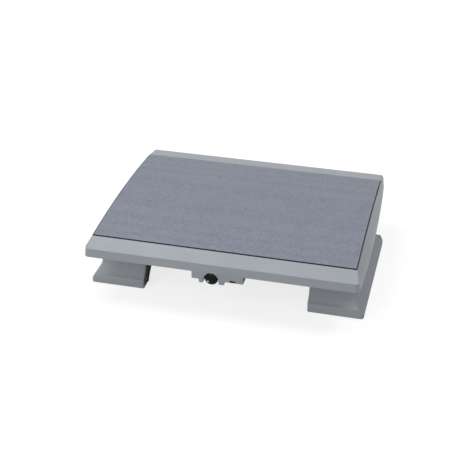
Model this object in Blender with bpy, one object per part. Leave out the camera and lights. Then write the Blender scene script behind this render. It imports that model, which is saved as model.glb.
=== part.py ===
"""Ergonomic footrest: a carpeted deck that tilts on two pedestals and is locked by a front knob.

Units are metres. +Z is up, +X runs to the right along the front edge, +Y points to the back.
The origin lies on the floor, under the middle of the deck.
"""

import math

import bmesh
import bpy
from mathutils import Matrix, Vector

# Whole footrest
CLEARANCE = 0.0003
CUT_OVERRUN = 0.0020
WELD_DEPTH = 0.0010
AXIS_HEIGHT = 0.0630
AXIS_SETBACK = 0.1600
FRONT_DOWN_DEGREES = 15.0
REAR_DOWN_DEGREES = 10.0

# Deck: a moulded tray with a skirt, sloping bands and a crowned panel
DECK_WIDTH = 0.4570
DECK_FRONT_TAPER = 0.0040
DECK_REAR_TAPER = 0.0185
DECK_DEPTH = 0.3560
DECK_WALL = 0.0030
WIDEST_SETBACK = 0.0950
SKIRT_ABOVE_AXIS = 0.0123
SKIRT_HEIGHT = 0.0155
SKIRT_SIDE_DRAFT = 0.0018
SKIRT_FRONT_DRAFT = 0.0004
FRONT_CORNER_RADIUS = 0.0080
REAR_CORNER_RADIUS = 0.0036
FRONT_BAND_DEPTH = 0.0228
REAR_BAND_DEPTH = 0.0305
BAND_RISE = 0.0122
CROWN_RISE = 0.0075
REAR_EDGE_RADIUS = 0.0050
BAND_RING_SHARES = (0.06, 0.30, 0.60)
INNER_BAND_SHARE = 0.5
SIDE_BAND_WIDTH = 0.0100
RECESS_REAR_TAPER = 0.0040
RECESS_DEPTH = 0.0025
RECESS_CORNER_RADIUS = 0.0030
RIB_THICKNESS = 0.0025
RIB_DEPTH = 0.0100
RIB_SPACING = 0.0640
RIB_MARGIN = 0.0080
CROSS_RIB_SPAN = 0.2500
CROSS_RIB_SETBACKS = (0.0600, 0.2250, 0.2900)

# Carpet glued into the recess
CARPET_STANDS_PROUD = 0.0012
CARPET_EDGE_GAP = 0.0010
CARPET_EDGE_ROUND = 0.0016

# Pedestals: hollow shells with a coved foot, open underneath and on the inner side
PEDESTAL_STANDS_OUT = 0.0030
PEDESTAL_WIDTH = 0.0945
PEDESTAL_DEPTH = 0.2440
PEDESTAL_WALL = 0.0032
PEDESTAL_LIFT = 0.0010
TOE_HEIGHT = 0.0155
TOE_ROUND = 0.0020
OUTER_TOE_DROP = 0.0085
TOE_CORNER_RADIUS = 0.0050
NECK_CORNER_RADIUS = 0.0060
NECK_HEIGHT = 0.0445
COVE_INSET = 0.0150
COVE_START_DEGREES = 25.0
INNER_EDGE_RADIUS = 0.0050
RETURN_FLANGE = 0.0065
ROOF_LIP = 0.0080
ROOF_DISTANCE = 0.0275
SHELL_POST_RADIUS = 0.0050
SHELL_POST_LENGTH = 0.0180
POST_SETBACK = 0.0140
LOW_POST_HEIGHT = 0.0140
HIGH_POST_DROP = 0.0140

# Rubber feet, four under each pedestal
PAD_RADIUS = 0.0090
PAD_HEIGHT = 0.0040
PAD_CHAMFER = 0.0008
PAD_STUD_RADIUS = 0.0030
PAD_WEB_THICKNESS = 0.0030
PAD_WEB_MARGIN = 0.0060
PAD_STUD_PROUD = 0.0015

# Cheeks: arched plates inside the open sides, which carry both tubes
CHEEK_THICKNESS = 0.0040
CHEEK_HUB_RADIUS = 0.0160
CHEEK_HUB_LENGTH = 0.0200
CHEEK_FOOT = 0.0250
ARCH_HEIGHT = 0.0440
ARCH_CENTRE_DROP = 0.0200
ARCH_RIM = 0.0025
SOCKET_WALL = 0.0035
SOCKET_LENGTH = 0.0090

# Tubes that join the pedestals
TUBE_RADIUS = 0.0100
TUBE_WALL = 0.0020
TUBE_BOSS_WALL = 0.0050
TUBE_BOSS_LENGTH = 0.0220
TUBE_SEAT = 0.0140
STRETCHER_RADIUS = 0.0080
STRETCHER_WALL = 0.0015
STRETCHER_TO_REAR = 0.0420
STRETCHER_DROP = 0.0160
PLUG_LENGTH = 0.0140

# Fasteners
SMALL_SCREW_RADIUS = 0.0018
SMALL_SCREW_HEAD_RADIUS = 0.0036
SMALL_SCREW_HEAD = 0.0022
SMALL_SCREW_BITE = 0.0080
BOLT_RADIUS = 0.0029
BOLT_HEAD_RADIUS = 0.0055
BOLT_HEAD = 0.0040
BOLT_BITE = 0.0120
SET_SCREW_RADIUS = 0.0019
SET_SCREW_LENGTH = 0.0085
DRIVE_RECESS_RADIUS = 0.0013
DRIVE_RECESS_DEPTH = 0.0010
SCREW_CROWN_SHARE = 0.8

# Saddles that hang the deck on the pivot tube
BUSH_WALL = 0.0025
BUSH_FLANGE = 0.0020
BUSH_FLANGE_WALL = 0.0040
SADDLE_LENGTH = 0.0240
SADDLE_HALF_DEPTH = 0.0220
SADDLE_POCKET = 0.0110
SADDLE_WEB = 0.0040
CAP_THICKNESS = 0.0040
CAP_EAR = 0.0060
EAR_WIDTH = 0.0090

# Rubber stop bumpers under the deck
BUMPER_RADIUS = 0.0070
BUMPER_HEIGHT = 0.0060
BUMPER_STUD_RADIUS = 0.0025
BUMPER_STUD_LENGTH = 0.0040
BUMPER_TO_END = 0.0400
STOP_CLEARANCE = 0.0005

# Tilt sector on the pivot tube
SECTOR_RADIUS = 0.0560
SECTOR_RIM = 0.0050
SECTOR_RIM_WIDTH = 0.0180
SECTOR_PLATE = 0.0080
SECTOR_HUB_RADIUS = 0.0180
SECTOR_HUB_LENGTH = 0.0240
SECTOR_SPARE_DEGREES = 1.5
SECTOR_WINDOW_MARGIN = 0.0050
TAIL_HALF_WIDTH = 0.0070
TAIL_PLATE = 0.0060
TAIL_RING_WALL = 0.0050
PIN_RADIUS = 0.0020
PIN_INSET = 0.0005

# Lock: knob, screw, housing with its nut, and the brake shoe in its guide
LOCK_OFFSET = -0.0120
KNOB_RADIUS = 0.0110
KNOB_LENGTH = 0.0140
KNOB_SETBACK = 0.0005
KNOB_FLUTES = 16
KNOB_FLUTE_DEPTH = 0.0005
KNOB_EDGE = 0.0015
KNOB_DISH = 0.0012
KNOB_DISH_SHARE = 0.67
KNOB_FACE = 0.0040
SCREW_RADIUS = 0.0040
SCREW_CHAMFER = 0.0008
GROOVE_DEPTH = 0.0010
GROOVE_WIDTH = 0.0012
NUT_FLATS = 0.0130
NUT_THICKNESS = 0.0062
HOUSING_LEFT = 0.0320
HOUSING_RIGHT = 0.0530
HOUSING_DEPTH = 0.0300
HOUSING_WALL = 0.0030
HOUSING_REAR_WALL = 0.0045
HOUSING_LOW = 0.0010
HOUSING_RISE = 0.0245
ARCH_CLEARANCE = 0.0014
ARCH_SLEEVE_WALL = 0.0020
ARCH_SLEEVE_LENGTH = 0.0130
LUG_DROP = 0.0075
LEFT_LUG_WIDTH = 0.0080
RIGHT_LUG_WIDTH = 0.0096
LUG_DEPTH = 0.0120
NOTCH_START = 0.0315
NOTCH_WIDTH = 0.0085
NOTCH_HEIGHT = 0.0022
NOTCH_SILL = 0.0014
NUT_BOSS_WALL = 0.0028
HOUSING_SCREW_SETBACK = 0.0165
HOUSING_SCREW_SHARES = (0.11, 0.50, 0.89)
HOUSING_POST_HALF = 0.0040
HOUSING_SCREW_BITE = 0.0045
SHOE_WIDTH = 0.0220
SHOE_HEIGHT = 0.0200
SHOE_DEPTH = 0.0130
SHOE_SOCKET = 0.0090
LINING_WIDTH = 0.0160
LINING_HEIGHT = 0.0180
LINING_THICKNESS = 0.0040
CLIP_RADIUS = 0.0075
CLIP_GAP_DEGREES = 60.0
GUIDE_LENGTH = 0.0260
GUIDE_WALL = 0.0030
GUIDE_LIP = 0.0035
GUIDE_EAR = 0.0110
GUIDE_POST_RADIUS = 0.0045

# Roundness of the meshes
ROUND_STEPS = 20
SMALL_ROUND_STEPS = 8
CORNER_STEPS = 3
SIDE_STEPS = 8
COVE_STEPS = 4
ROOF_STEPS = 2
ARC_STEPS = 8
SMOOTH_DEGREES = 32.0
WELD_DISTANCE = 0.000003
QUARTER_TURN = 90.0
EIGHTH_TURN = math.pi / 4
HEXAGON_SIDES = 6

# Colour, roughness and metallic value of each finish
FINISHES = {
    "grey": ("grey_plastic", (0.36, 0.39, 0.41), 0.45, 0.0),
    "carpet": ("carpet_fibre", (0.24, 0.26, 0.33), 0.95, 0.0),
    "black": ("black_plastic", (0.02, 0.02, 0.022), 0.50, 0.0),
    "white": ("natural_plastic", (0.78, 0.77, 0.72), 0.40, 0.0),
    "rubber": ("black_rubber", (0.03, 0.03, 0.03), 0.85, 0.0),
    "lining": ("friction_lining", (0.10, 0.07, 0.05), 0.90, 0.0),
    "steel": ("zinc_plated_steel", (0.62, 0.62, 0.60), 0.30, 1.0),
    "dark_steel": ("dark_steel", (0.12, 0.12, 0.12), 0.40, 1.0),
    "zinc": ("cast_zinc", (0.45, 0.45, 0.46), 0.50, 1.0),
}

# Places worked out from the sizes above
RECESS_FRONT_WIDTH = DECK_WIDTH - SIDE_BAND_WIDTH * 2
RECESS_REAR_WIDTH = RECESS_FRONT_WIDTH - RECESS_REAR_TAPER
PEDESTAL_SPAN = DECK_WIDTH + PEDESTAL_STANDS_OUT * 2
BUMPER_REACH = PEDESTAL_DEPTH / 2 - BUMPER_TO_END
FRONT_Y = -DECK_DEPTH / 2
REAR_Y = DECK_DEPTH / 2
AXIS_Y = FRONT_Y + AXIS_SETBACK
AXIS_Z = AXIS_HEIGHT
SKIRT_BOTTOM = AXIS_Z + SKIRT_ABOVE_AXIS
SKIRT_TOP = SKIRT_BOTTOM + SKIRT_HEIGHT
EDGE_Z = SKIRT_TOP + BAND_RISE
RECESS_FRONT = FRONT_Y + FRONT_BAND_DEPTH
RECESS_REAR = REAR_Y - REAR_BAND_DEPTH
WIDEST_Y = FRONT_Y + WIDEST_SETBACK
PEDESTAL_OUTER = PEDESTAL_SPAN / 2
PEDESTAL_INNER = PEDESTAL_OUTER - PEDESTAL_WIDTH
PEDESTAL_FRONT = AXIS_Y - PEDESTAL_DEPTH / 2
PEDESTAL_REAR = AXIS_Y + PEDESTAL_DEPTH / 2
CHEEK_FACE = PEDESTAL_INNER + PEDESTAL_WALL + CLEARANCE
CHEEK_BACK = CHEEK_FACE + CHEEK_THICKNESS
NECK_INNER_FACE = PEDESTAL_OUTER - COVE_INSET - PEDESTAL_WALL
TUBE_END = NECK_INNER_FACE - TUBE_BOSS_LENGTH + TUBE_SEAT
STRETCHER_Y = PEDESTAL_REAR - STRETCHER_TO_REAR
STRETCHER_Z = AXIS_Z - STRETCHER_DROP
STRETCHER_END = CHEEK_FACE - CLEARANCE
BUSH_RADIUS = TUBE_RADIUS + CLEARANCE + BUSH_WALL
SADDLE_BORE = BUSH_RADIUS + CLEARANCE
SADDLE_OUTER = PEDESTAL_INNER - CLEARANCE - BUSH_FLANGE - CLEARANCE
SADDLE_INNER = SADDLE_OUTER - SADDLE_LENGTH
SADDLE_MIDDLE = (SADDLE_OUTER + SADDLE_INNER) / 2
SADDLE_SCREW_Y = (SADDLE_BORE + SADDLE_HALF_DEPTH) / 2
LOCK_X = LOCK_OFFSET
LINING_REACH = SECTOR_RADIUS + CLEARANCE
LINING_FRONT = AXIS_Y - LINING_REACH - LINING_THICKNESS
SHOE_REAR = LINING_FRONT - CLEARANCE
SHOE_FRONT = SHOE_REAR - SHOE_DEPTH
SCREW_TIP = SHOE_FRONT + SHOE_SOCKET
KNOB_FRONT = FRONT_Y + KNOB_SETBACK
KNOB_REAR = KNOB_FRONT + KNOB_LENGTH
HOUSING_X0 = LOCK_X - HOUSING_LEFT
HOUSING_X1 = LOCK_X + HOUSING_RIGHT
HOUSING_FRONT = FRONT_Y + SKIRT_FRONT_DRAFT
HOUSING_REAR = FRONT_Y + HOUSING_DEPTH
HOUSING_TUCK = FRONT_Y + SKIRT_FRONT_DRAFT + DECK_WALL + CLEARANCE
HOUSING_BOTTOM = AXIS_Z - HOUSING_LOW
HOUSING_TOP = HOUSING_BOTTOM + HOUSING_RISE
HOUSING_SCREW_Y = FRONT_Y + HOUSING_SCREW_SETBACK
NUT_REAR = HOUSING_REAR - HOUSING_REAR_WALL - CLEARANCE
NUT_FRONT = NUT_REAR - NUT_THICKNESS
ARCH_RADIUS = KNOB_RADIUS + ARCH_CLEARANCE
GUIDE_REAR = AXIS_Y - LINING_REACH - CLEARANCE - GUIDE_WALL
GUIDE_FRONT = GUIDE_REAR - GUIDE_LENGTH
GUIDE_HALF = SHOE_WIDTH / 2 + CLEARANCE
GUIDE_TOP = AXIS_Z + SHOE_HEIGHT / 2 + CLEARANCE + GUIDE_WALL
GUIDE_SCREW_X = GUIDE_HALF + GUIDE_WALL + GUIDE_EAR / 2
BUMPER_TIP = AXIS_Z + ROOF_DISTANCE + STOP_CLEARANCE
BUMPER_X = (PEDESTAL_INNER + NECK_INNER_FACE) / 2


def clear_scene():
    """Remove every object that the scene already holds."""
    for item in list(bpy.data.objects):
        bpy.data.objects.remove(item, do_unlink=True)


def surface(name, colour, roughness, metallic):
    """Return a plain surface material with the given colour."""
    material = bpy.data.materials.new(name)
    material.use_nodes = True
    shader = material.node_tree.nodes["Principled BSDF"]
    shader.inputs["Base Color"].default_value = (*colour, 1.0)
    shader.inputs["Roughness"].default_value = roughness
    shader.inputs["Metallic"].default_value = metallic
    material.diffuse_color = (*colour, 1.0)
    return material


def make_object(name, bm, material, smooth=True):
    """Turn a bmesh into a named object with outward faces."""
    bmesh.ops.remove_doubles(bm, verts=bm.verts, dist=WELD_DISTANCE)
    bmesh.ops.recalc_face_normals(bm, faces=bm.faces)
    mesh = bpy.data.meshes.new(name)
    bm.to_mesh(mesh)
    bm.free()
    if material is not None:
        mesh.materials.append(material)
    item = bpy.data.objects.new(name, mesh)
    bpy.context.scene.collection.objects.link(item)
    if smooth:
        soften(item)
    return item


def soften(item):
    """Shade a piece smooth, keeping its real edges sharp."""
    item.data.shade_smooth()
    item.data.set_sharp_from_angle(angle=math.radians(SMOOTH_DEGREES))


def combine(item, others, operation):
    """Join or cut an object with others, one after another, and drop the others."""
    for other in others:
        modifier = item.modifiers.new(operation.title(), 'BOOLEAN')
        modifier.operation = operation
        modifier.solver = 'EXACT'
        modifier.object = other
        graph = bpy.context.evaluated_depsgraph_get()
        result = bpy.data.meshes.new_from_object(item.evaluated_get(graph))
        item.modifiers.clear()
        item.data = result
        bpy.data.objects.remove(other, do_unlink=True)
    soften(item)


def gather(items):
    """Put loose shapes that stay clear of each other into one mesh."""
    bm = bmesh.new()
    for item in items:
        bm.from_mesh(item.data)
        bpy.data.objects.remove(item, do_unlink=True)
    return make_object("gathered", bm, None, smooth=False)


def join(item, *others):
    """Fuse moulded features onto a piece."""
    combine(item, others, 'UNION')


def cut(item, *others):
    """Cut holes and pockets out of a piece."""
    combine(item, others, 'DIFFERENCE')


def add_box(bm, low, high):
    """Add a box between two opposite corners."""
    size = Vector(high) - Vector(low)
    middle = (Vector(high) + Vector(low)) / 2
    place = Matrix.Translation(middle) @ Matrix.Diagonal((*size, 1.0))
    bmesh.ops.create_cube(bm, size=1.0, matrix=place)


def box(low, high):
    """Return a box as a loose object, to join or cut with."""
    bm = bmesh.new()
    add_box(bm, low, high)
    return make_object("box", bm, None, smooth=False)


def axis_point(axis, along, across, up):
    """Place a point given along an axis and on its two cross directions."""
    if axis == 'X':
        return Vector((along, across, up))
    if axis == 'Y':
        return Vector((across, along, up))
    return Vector((across, up, along))


def add_turned(bm, axis, centre, profile, steps=ROUND_STEPS):
    """Add a turned solid with flat ends; the profile holds (radius, place along the axis)."""
    rings = add_turned_rings(bm, axis, centre, profile, steps)
    bm.faces.new(rings[0])
    bm.faces.new(rings[-1])


def add_turned_tube(bm, axis, centre, profile, steps=ROUND_STEPS):
    """Add a turned solid that is open along its axis; the profile closes on itself."""
    rings = add_turned_rings(bm, axis, centre, profile, steps)
    bridge_rings(bm, rings[-1], rings[0])


def add_turned_rings(bm, axis, centre, profile, steps):
    """Add the rings of a turned profile and the faces between them."""
    rings = []
    for radius, along in profile:
        ring = []
        for step in range(steps):
            angle = math.tau * step / steps
            across = centre[0] + radius * math.cos(angle)
            up = centre[1] + radius * math.sin(angle)
            ring.append(bm.verts.new(axis_point(axis, along, across, up)))
        rings.append(ring)
    for first, second in zip(rings, rings[1:]):
        bridge_rings(bm, first, second)
    return rings


def bridge_rings(bm, first, second):
    """Join two rings of as many points with faces."""
    for step in range(len(first)):
        following = (step + 1) % len(first)
        bm.faces.new((first[step], first[following], second[following], second[step]))


def rod_profile(radius, start, end):
    """Profile of a plain round rod."""
    return [(radius, start), (radius, end)]


def tube_profile(inner, outer, start, end):
    """Closed profile of a plain tube or ring."""
    return [(inner, start), (outer, start), (outer, end), (inner, end)]


def rod(axis, centre, radius, start, end, steps=ROUND_STEPS):
    """Return a round rod as a loose object."""
    bm = bmesh.new()
    add_turned(bm, axis, centre, rod_profile(radius, start, end), steps)
    return make_object("rod", bm, None)


def add_prism(bm, axis, outline, start, end):
    """Add a prism: an outline of (across, up) points extruded along an axis."""
    lower = [bm.verts.new(axis_point(axis, start, across, up)) for across, up in outline]
    upper = [bm.verts.new(axis_point(axis, end, across, up)) for across, up in outline]
    bm.faces.new(lower)
    bm.faces.new(upper)
    bridge_rings(bm, lower, upper)


def prism(axis, outline, start, end):
    """Return a prism as a loose object."""
    bm = bmesh.new()
    add_prism(bm, axis, outline, start, end)
    return make_object("prism", bm, None, smooth=False)


def arc(centre, radius, first_degrees, last_degrees, steps):
    """Points along a circular arc."""
    points = []
    for step in range(steps + 1):
        angle = math.radians(first_degrees + (last_degrees - first_degrees) * step / steps)
        points.append((centre[0] + radius * math.cos(angle), centre[1] + radius * math.sin(angle)))
    return points


def mirrored(item, name):
    """Return the left-hand copy of a right-hand piece."""
    mesh = item.data.copy()
    mesh.name = name
    mesh.transform(Matrix.Diagonal((-1.0, 1.0, 1.0, 1.0)))
    mesh.flip_normals()
    copy = bpy.data.objects.new(name, mesh)
    bpy.context.scene.collection.objects.link(copy)
    return copy


def screw_profile(seat, direction, radius, head_radius, head, length):
    """Profile of a screw whose head rests at the seat and whose shank runs along the direction."""
    top = seat - direction * head
    recess = top + direction * DRIVE_RECESS_DEPTH
    return [
        (DRIVE_RECESS_RADIUS, recess),
        (DRIVE_RECESS_RADIUS, top),
        (head_radius * SCREW_CROWN_SHARE, top),
        (head_radius, seat - direction * head / 2),
        (head_radius, seat),
        (radius, seat),
        (radius, seat + direction * length),
    ]


def small_screw_profile(seat, length):
    """Profile of one of the small screws, driven along the positive axis."""
    size = (SMALL_SCREW_RADIUS, SMALL_SCREW_HEAD_RADIUS, SMALL_SCREW_HEAD)
    return screw_profile(seat, 1.0, *size, length)


def turned_set(name, axis, places, profile, material):
    """Build one turned piece at each place, numbered from one."""
    pieces = []
    for number, place in enumerate(places, start=1):
        bm = bmesh.new()
        add_turned(bm, axis, place, profile, SMALL_ROUND_STEPS)
        pieces.append(make_object(f"{name}_{number}", bm, material))
    return pieces


def deck_half_width(y):
    """Half width of the deck at its skirt's bottom edge."""
    if y < WIDEST_Y:
        taper = DECK_FRONT_TAPER
        share = (WIDEST_Y - y) / (WIDEST_Y - FRONT_Y)
    else:
        taper = DECK_REAR_TAPER
        share = (y - WIDEST_Y) / (REAR_Y - WIDEST_Y)
    return (DECK_WIDTH - taper * share * share) / 2


def recess_half_width(y):
    """Half width of the carpet recess."""
    share = (y - RECESS_FRONT) / (RECESS_REAR - RECESS_FRONT)
    return (RECESS_FRONT_WIDTH + (RECESS_REAR_WIDTH - RECESS_FRONT_WIDTH) * share) / 2


def crown_height(y):
    """Height of the crowned top surface along the recess edge."""
    middle = (RECESS_FRONT + RECESS_REAR) / 2
    share = (y - middle) / (RECESS_REAR - middle)
    return EDGE_Z + CROWN_RISE * (1.0 - share * share)


def ceiling_height(y):
    """Height of the panel's underside."""
    return crown_height(y) - RECESS_DEPTH - DECK_WALL


def front_band_height(y):
    """Height of the sloping front band."""
    return SKIRT_TOP + BAND_RISE * (y - FRONT_Y) / FRONT_BAND_DEPTH


def half_outline(width_at, front, rear, front_radius, rear_radius):
    """Right half of a rounded outline as (x, y, front share, rear share) from front to back."""
    points = []
    front_y = front + front_radius
    rear_y = rear - rear_radius
    front_x = width_at(front_y)
    rear_x = width_at(rear_y)
    for step in range(CORNER_STEPS + 1):
        angle = math.pi / 2 * step / CORNER_STEPS
        x = front_x - front_radius * (1.0 - math.sin(angle))
        points.append((x, front_y - front_radius * math.cos(angle), 1.0 - step / CORNER_STEPS, 0.0))
    for step in range(1, SIDE_STEPS):
        y = front_y + (rear_y - front_y) * step / SIDE_STEPS
        points.append((width_at(y), y, 0.0, 0.0))
    for step in range(CORNER_STEPS + 1):
        angle = math.pi / 2 * step / CORNER_STEPS
        x = rear_x - rear_radius * (1.0 - math.cos(angle))
        points.append((x, rear_y + rear_radius * math.sin(angle), 0.0, step / CORNER_STEPS))
    return points


def raise_outline(outline, side_height, front_height, rear_height):
    """Give each point of an outline its height, blending round the corners."""
    ring = []
    for x, y, front_share, rear_share in outline:
        height = side_height(y) * (1.0 - front_share - rear_share)
        height += front_height * front_share + rear_height * rear_share
        ring.append(Vector((x, y, height)))
    return ring


def crowned_ring(inset, drop, radius):
    """Ring parallel to the recess edge, following the crown."""
    outline = half_outline(
        lambda y: recess_half_width(y) - inset,
        RECESS_FRONT + inset,
        RECESS_REAR - inset,
        radius,
        radius,
    )
    return [Vector((x, y, crown_height(y) - drop)) for x, y, _, _ in outline]


def add_lofted(bm, rings):
    """Add a closed solid through rings of right-half points, mirrored to the left."""
    right = [[bm.verts.new(point) for point in ring] for ring in rings]
    left = [[bm.verts.new((-point.x, point.y, point.z)) for point in ring] for ring in rings]
    for number in range(len(rings) - 1):
        for half in (right, left):
            first, second = half[number], half[number + 1]
            for step in range(len(first) - 1):
                bm.faces.new((first[step], first[step + 1], second[step + 1], second[step]))
        for end in (0, -1):
            near = (left[number][end], right[number][end])
            far = (right[number + 1][end], left[number + 1][end])
            bm.faces.new(near + far)
    for number in (0, -1):
        for step in range(len(right[number]) - 1):
            bm.faces.new((
                right[number][step],
                right[number][step + 1],
                left[number][step + 1],
                left[number][step],
            ))


def band_ring(share, rear, rear_height):
    """Ring on the bands, a share of the way from the skirt's top to the recess edge."""
    def width_at(y):
        outer = deck_half_width(y) - SKIRT_SIDE_DRAFT
        return outer + (recess_half_width(y) - outer) * share

    front = FRONT_Y + SKIRT_FRONT_DRAFT + (FRONT_BAND_DEPTH - SKIRT_FRONT_DRAFT) * share
    front_radius = FRONT_CORNER_RADIUS + (RECESS_CORNER_RADIUS - FRONT_CORNER_RADIUS) * share
    rear_radius = REAR_CORNER_RADIUS + (RECESS_CORNER_RADIUS - REAR_CORNER_RADIUS) * share
    outline = half_outline(width_at, front, rear, front_radius, rear_radius)
    return raise_outline(
        outline,
        lambda y: SKIRT_TOP + (crown_height(y) - SKIRT_TOP) * share,
        SKIRT_TOP + BAND_RISE * share,
        rear_height,
    )


def inner_band_ring(share, rear, rear_height):
    """Ring on the underside of the bands, one wall inside the outer surface."""
    def width_at(y):
        outer = deck_half_width(y) - SKIRT_SIDE_DRAFT - DECK_WALL
        return outer + (recess_half_width(y) - DECK_WALL - outer) * share

    low = SKIRT_TOP - DECK_WALL / 2
    front = FRONT_Y + SKIRT_FRONT_DRAFT + DECK_WALL + FRONT_BAND_DEPTH * share
    corner = FRONT_CORNER_RADIUS - DECK_WALL
    outline = half_outline(width_at, front, rear, corner, REAR_CORNER_RADIUS - DECK_WALL)
    return raise_outline(
        outline,
        lambda y: low + (ceiling_height(y) - low) * share,
        low + (ceiling_height(RECESS_FRONT) - low) * share,
        rear_height,
    )


def deck_rings():
    """All rings of the deck shell, from the ceiling inside to the recess floor outside."""
    shoulder_y = REAR_Y - REAR_EDGE_RADIUS
    shoulder_z = crown_height(shoulder_y)
    round_y = shoulder_y + REAR_EDGE_RADIUS * math.sin(EIGHTH_TURN)
    round_z = shoulder_z - REAR_EDGE_RADIUS * (1.0 - math.cos(EIGHTH_TURN))
    inner_rear = REAR_Y - DECK_WALL
    slope_rear = shoulder_y - DECK_WALL
    skirt = half_outline(deck_half_width, FRONT_Y, REAR_Y, FRONT_CORNER_RADIUS, REAR_CORNER_RADIUS)
    inner_skirt = half_outline(
        lambda y: deck_half_width(y) - DECK_WALL,
        FRONT_Y + DECK_WALL,
        inner_rear,
        FRONT_CORNER_RADIUS - DECK_WALL,
        REAR_CORNER_RADIUS - DECK_WALL,
    )
    return [
        inner_band_ring(1.0, RECESS_REAR - DECK_WALL, ceiling_height(RECESS_REAR)),
        inner_band_ring(INNER_BAND_SHARE, slope_rear, crown_height(slope_rear) - DECK_WALL),
        inner_band_ring(0.0, inner_rear, SKIRT_TOP - DECK_WALL / 2),
        [Vector((x, y, SKIRT_BOTTOM)) for x, y, _, _ in inner_skirt],
        [Vector((x, y, SKIRT_BOTTOM)) for x, y, _, _ in skirt],
        band_ring(0.0, REAR_Y, SKIRT_TOP),
        band_ring(BAND_RING_SHARES[0], REAR_Y, shoulder_z - REAR_EDGE_RADIUS),
        band_ring(BAND_RING_SHARES[1], round_y, round_z),
        band_ring(BAND_RING_SHARES[2], shoulder_y, shoulder_z),
        crowned_ring(0.0, 0.0, RECESS_CORNER_RADIUS),
        crowned_ring(0.0, RECESS_DEPTH, RECESS_CORNER_RADIUS),
    ]


def long_rib(x):
    """Rib along the deck's underside, its top following the ceiling."""
    start = RECESS_FRONT + RIB_MARGIN
    end = RECESS_REAR - RIB_MARGIN
    bottom = ceiling_height(AXIS_Y) - RIB_DEPTH
    outline = [(start, bottom), (end, bottom)]
    for step in range(SIDE_STEPS, -1, -1):
        y = start + (end - start) * step / SIDE_STEPS
        outline.append((y, ceiling_height(y) + WELD_DEPTH))
    return prism('X', outline, x - RIB_THICKNESS / 2, x + RIB_THICKNESS / 2)


def cross_rib(y):
    """Rib across the deck's underside, between the pedestals."""
    bottom = ceiling_height(AXIS_Y) - RIB_DEPTH
    top = min(ceiling_height(y - RIB_THICKNESS / 2), ceiling_height(y + RIB_THICKNESS / 2)) + WELD_DEPTH
    half = CROSS_RIB_SPAN / 2
    return box((-half, y - RIB_THICKNESS / 2, bottom), (half, y + RIB_THICKNESS / 2, top))


def saddle_block(side):
    """Block that hangs from the ceiling and holds the upper half of the pivot."""
    low = min(side * SADDLE_INNER, side * SADDLE_OUTER)
    high = max(side * SADDLE_INNER, side * SADDLE_OUTER)
    front = AXIS_Y - SADDLE_HALF_DEPTH
    rear = AXIS_Y + SADDLE_HALF_DEPTH
    top = min(ceiling_height(front), ceiling_height(rear)) + WELD_DEPTH
    block = box((low, front, AXIS_Z), (high, rear, top))
    pockets = []
    for face, direction in ((front, 1.0), (rear, -1.0)):
        ends = sorted((face - direction * CUT_OVERRUN, face + direction * SADDLE_POCKET))
        pockets.append(box(
            (low + SADDLE_WEB, ends[0], AXIS_Z + SADDLE_BORE + SADDLE_WEB),
            (high - SADDLE_WEB, ends[1], top - WELD_DEPTH - SADDLE_WEB),
        ))
    bore = rod('X', (AXIS_Y, AXIS_Z), SADDLE_BORE, low - CUT_OVERRUN, high + CUT_OVERRUN)
    cut(block, bore, *pockets)
    return block


def saddle_screw_places():
    """Middle of each saddle screw as (x, y)."""
    return [
        (side * SADDLE_MIDDLE, AXIS_Y + along * SADDLE_SCREW_Y)
        for side in (-1.0, 1.0)
        for along in (-1.0, 1.0)
    ]


def housing_screw_places():
    """Middle of each housing screw as (x, y)."""
    width = HOUSING_X1 - HOUSING_X0
    return [(HOUSING_X0 + width * share, HOUSING_SCREW_Y) for share in HOUSING_SCREW_SHARES]


def guide_screw_places():
    """Middle of each guide screw as (x, y)."""
    middle = (GUIDE_FRONT + GUIDE_REAR) / 2
    return [(LOCK_X + side * GUIDE_SCREW_X, middle) for side in (-1.0, 1.0)]


def bumper_places():
    """Middle of each stop bumper as (x, y)."""
    return [
        (side * BUMPER_X, AXIS_Y + along * BUMPER_REACH)
        for along in (-1.0, 1.0)
        for side in (-1.0, 1.0)
    ]


def housing_post(place):
    """Post for a housing screw, its top following the front band."""
    x, y = place
    near = y - HOUSING_POST_HALF
    far = y + HOUSING_POST_HALF
    seat = HOUSING_TOP + CLEARANCE
    depth = DECK_WALL / 2
    outline = [
        (near, seat),
        (far, seat),
        (far, front_band_height(far) - depth),
        (near, front_band_height(near) - depth),
    ]
    return prism('X', outline, x - HOUSING_POST_HALF, x + HOUSING_POST_HALF)


def screw_hole(place, seat, depth):
    """Cutter for a screw that bites into a deck post from below."""
    radius = SMALL_SCREW_RADIUS + CLEARANCE
    return rod('Z', place, radius, seat - CUT_OVERRUN, seat + depth, SMALL_ROUND_STEPS)


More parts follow.
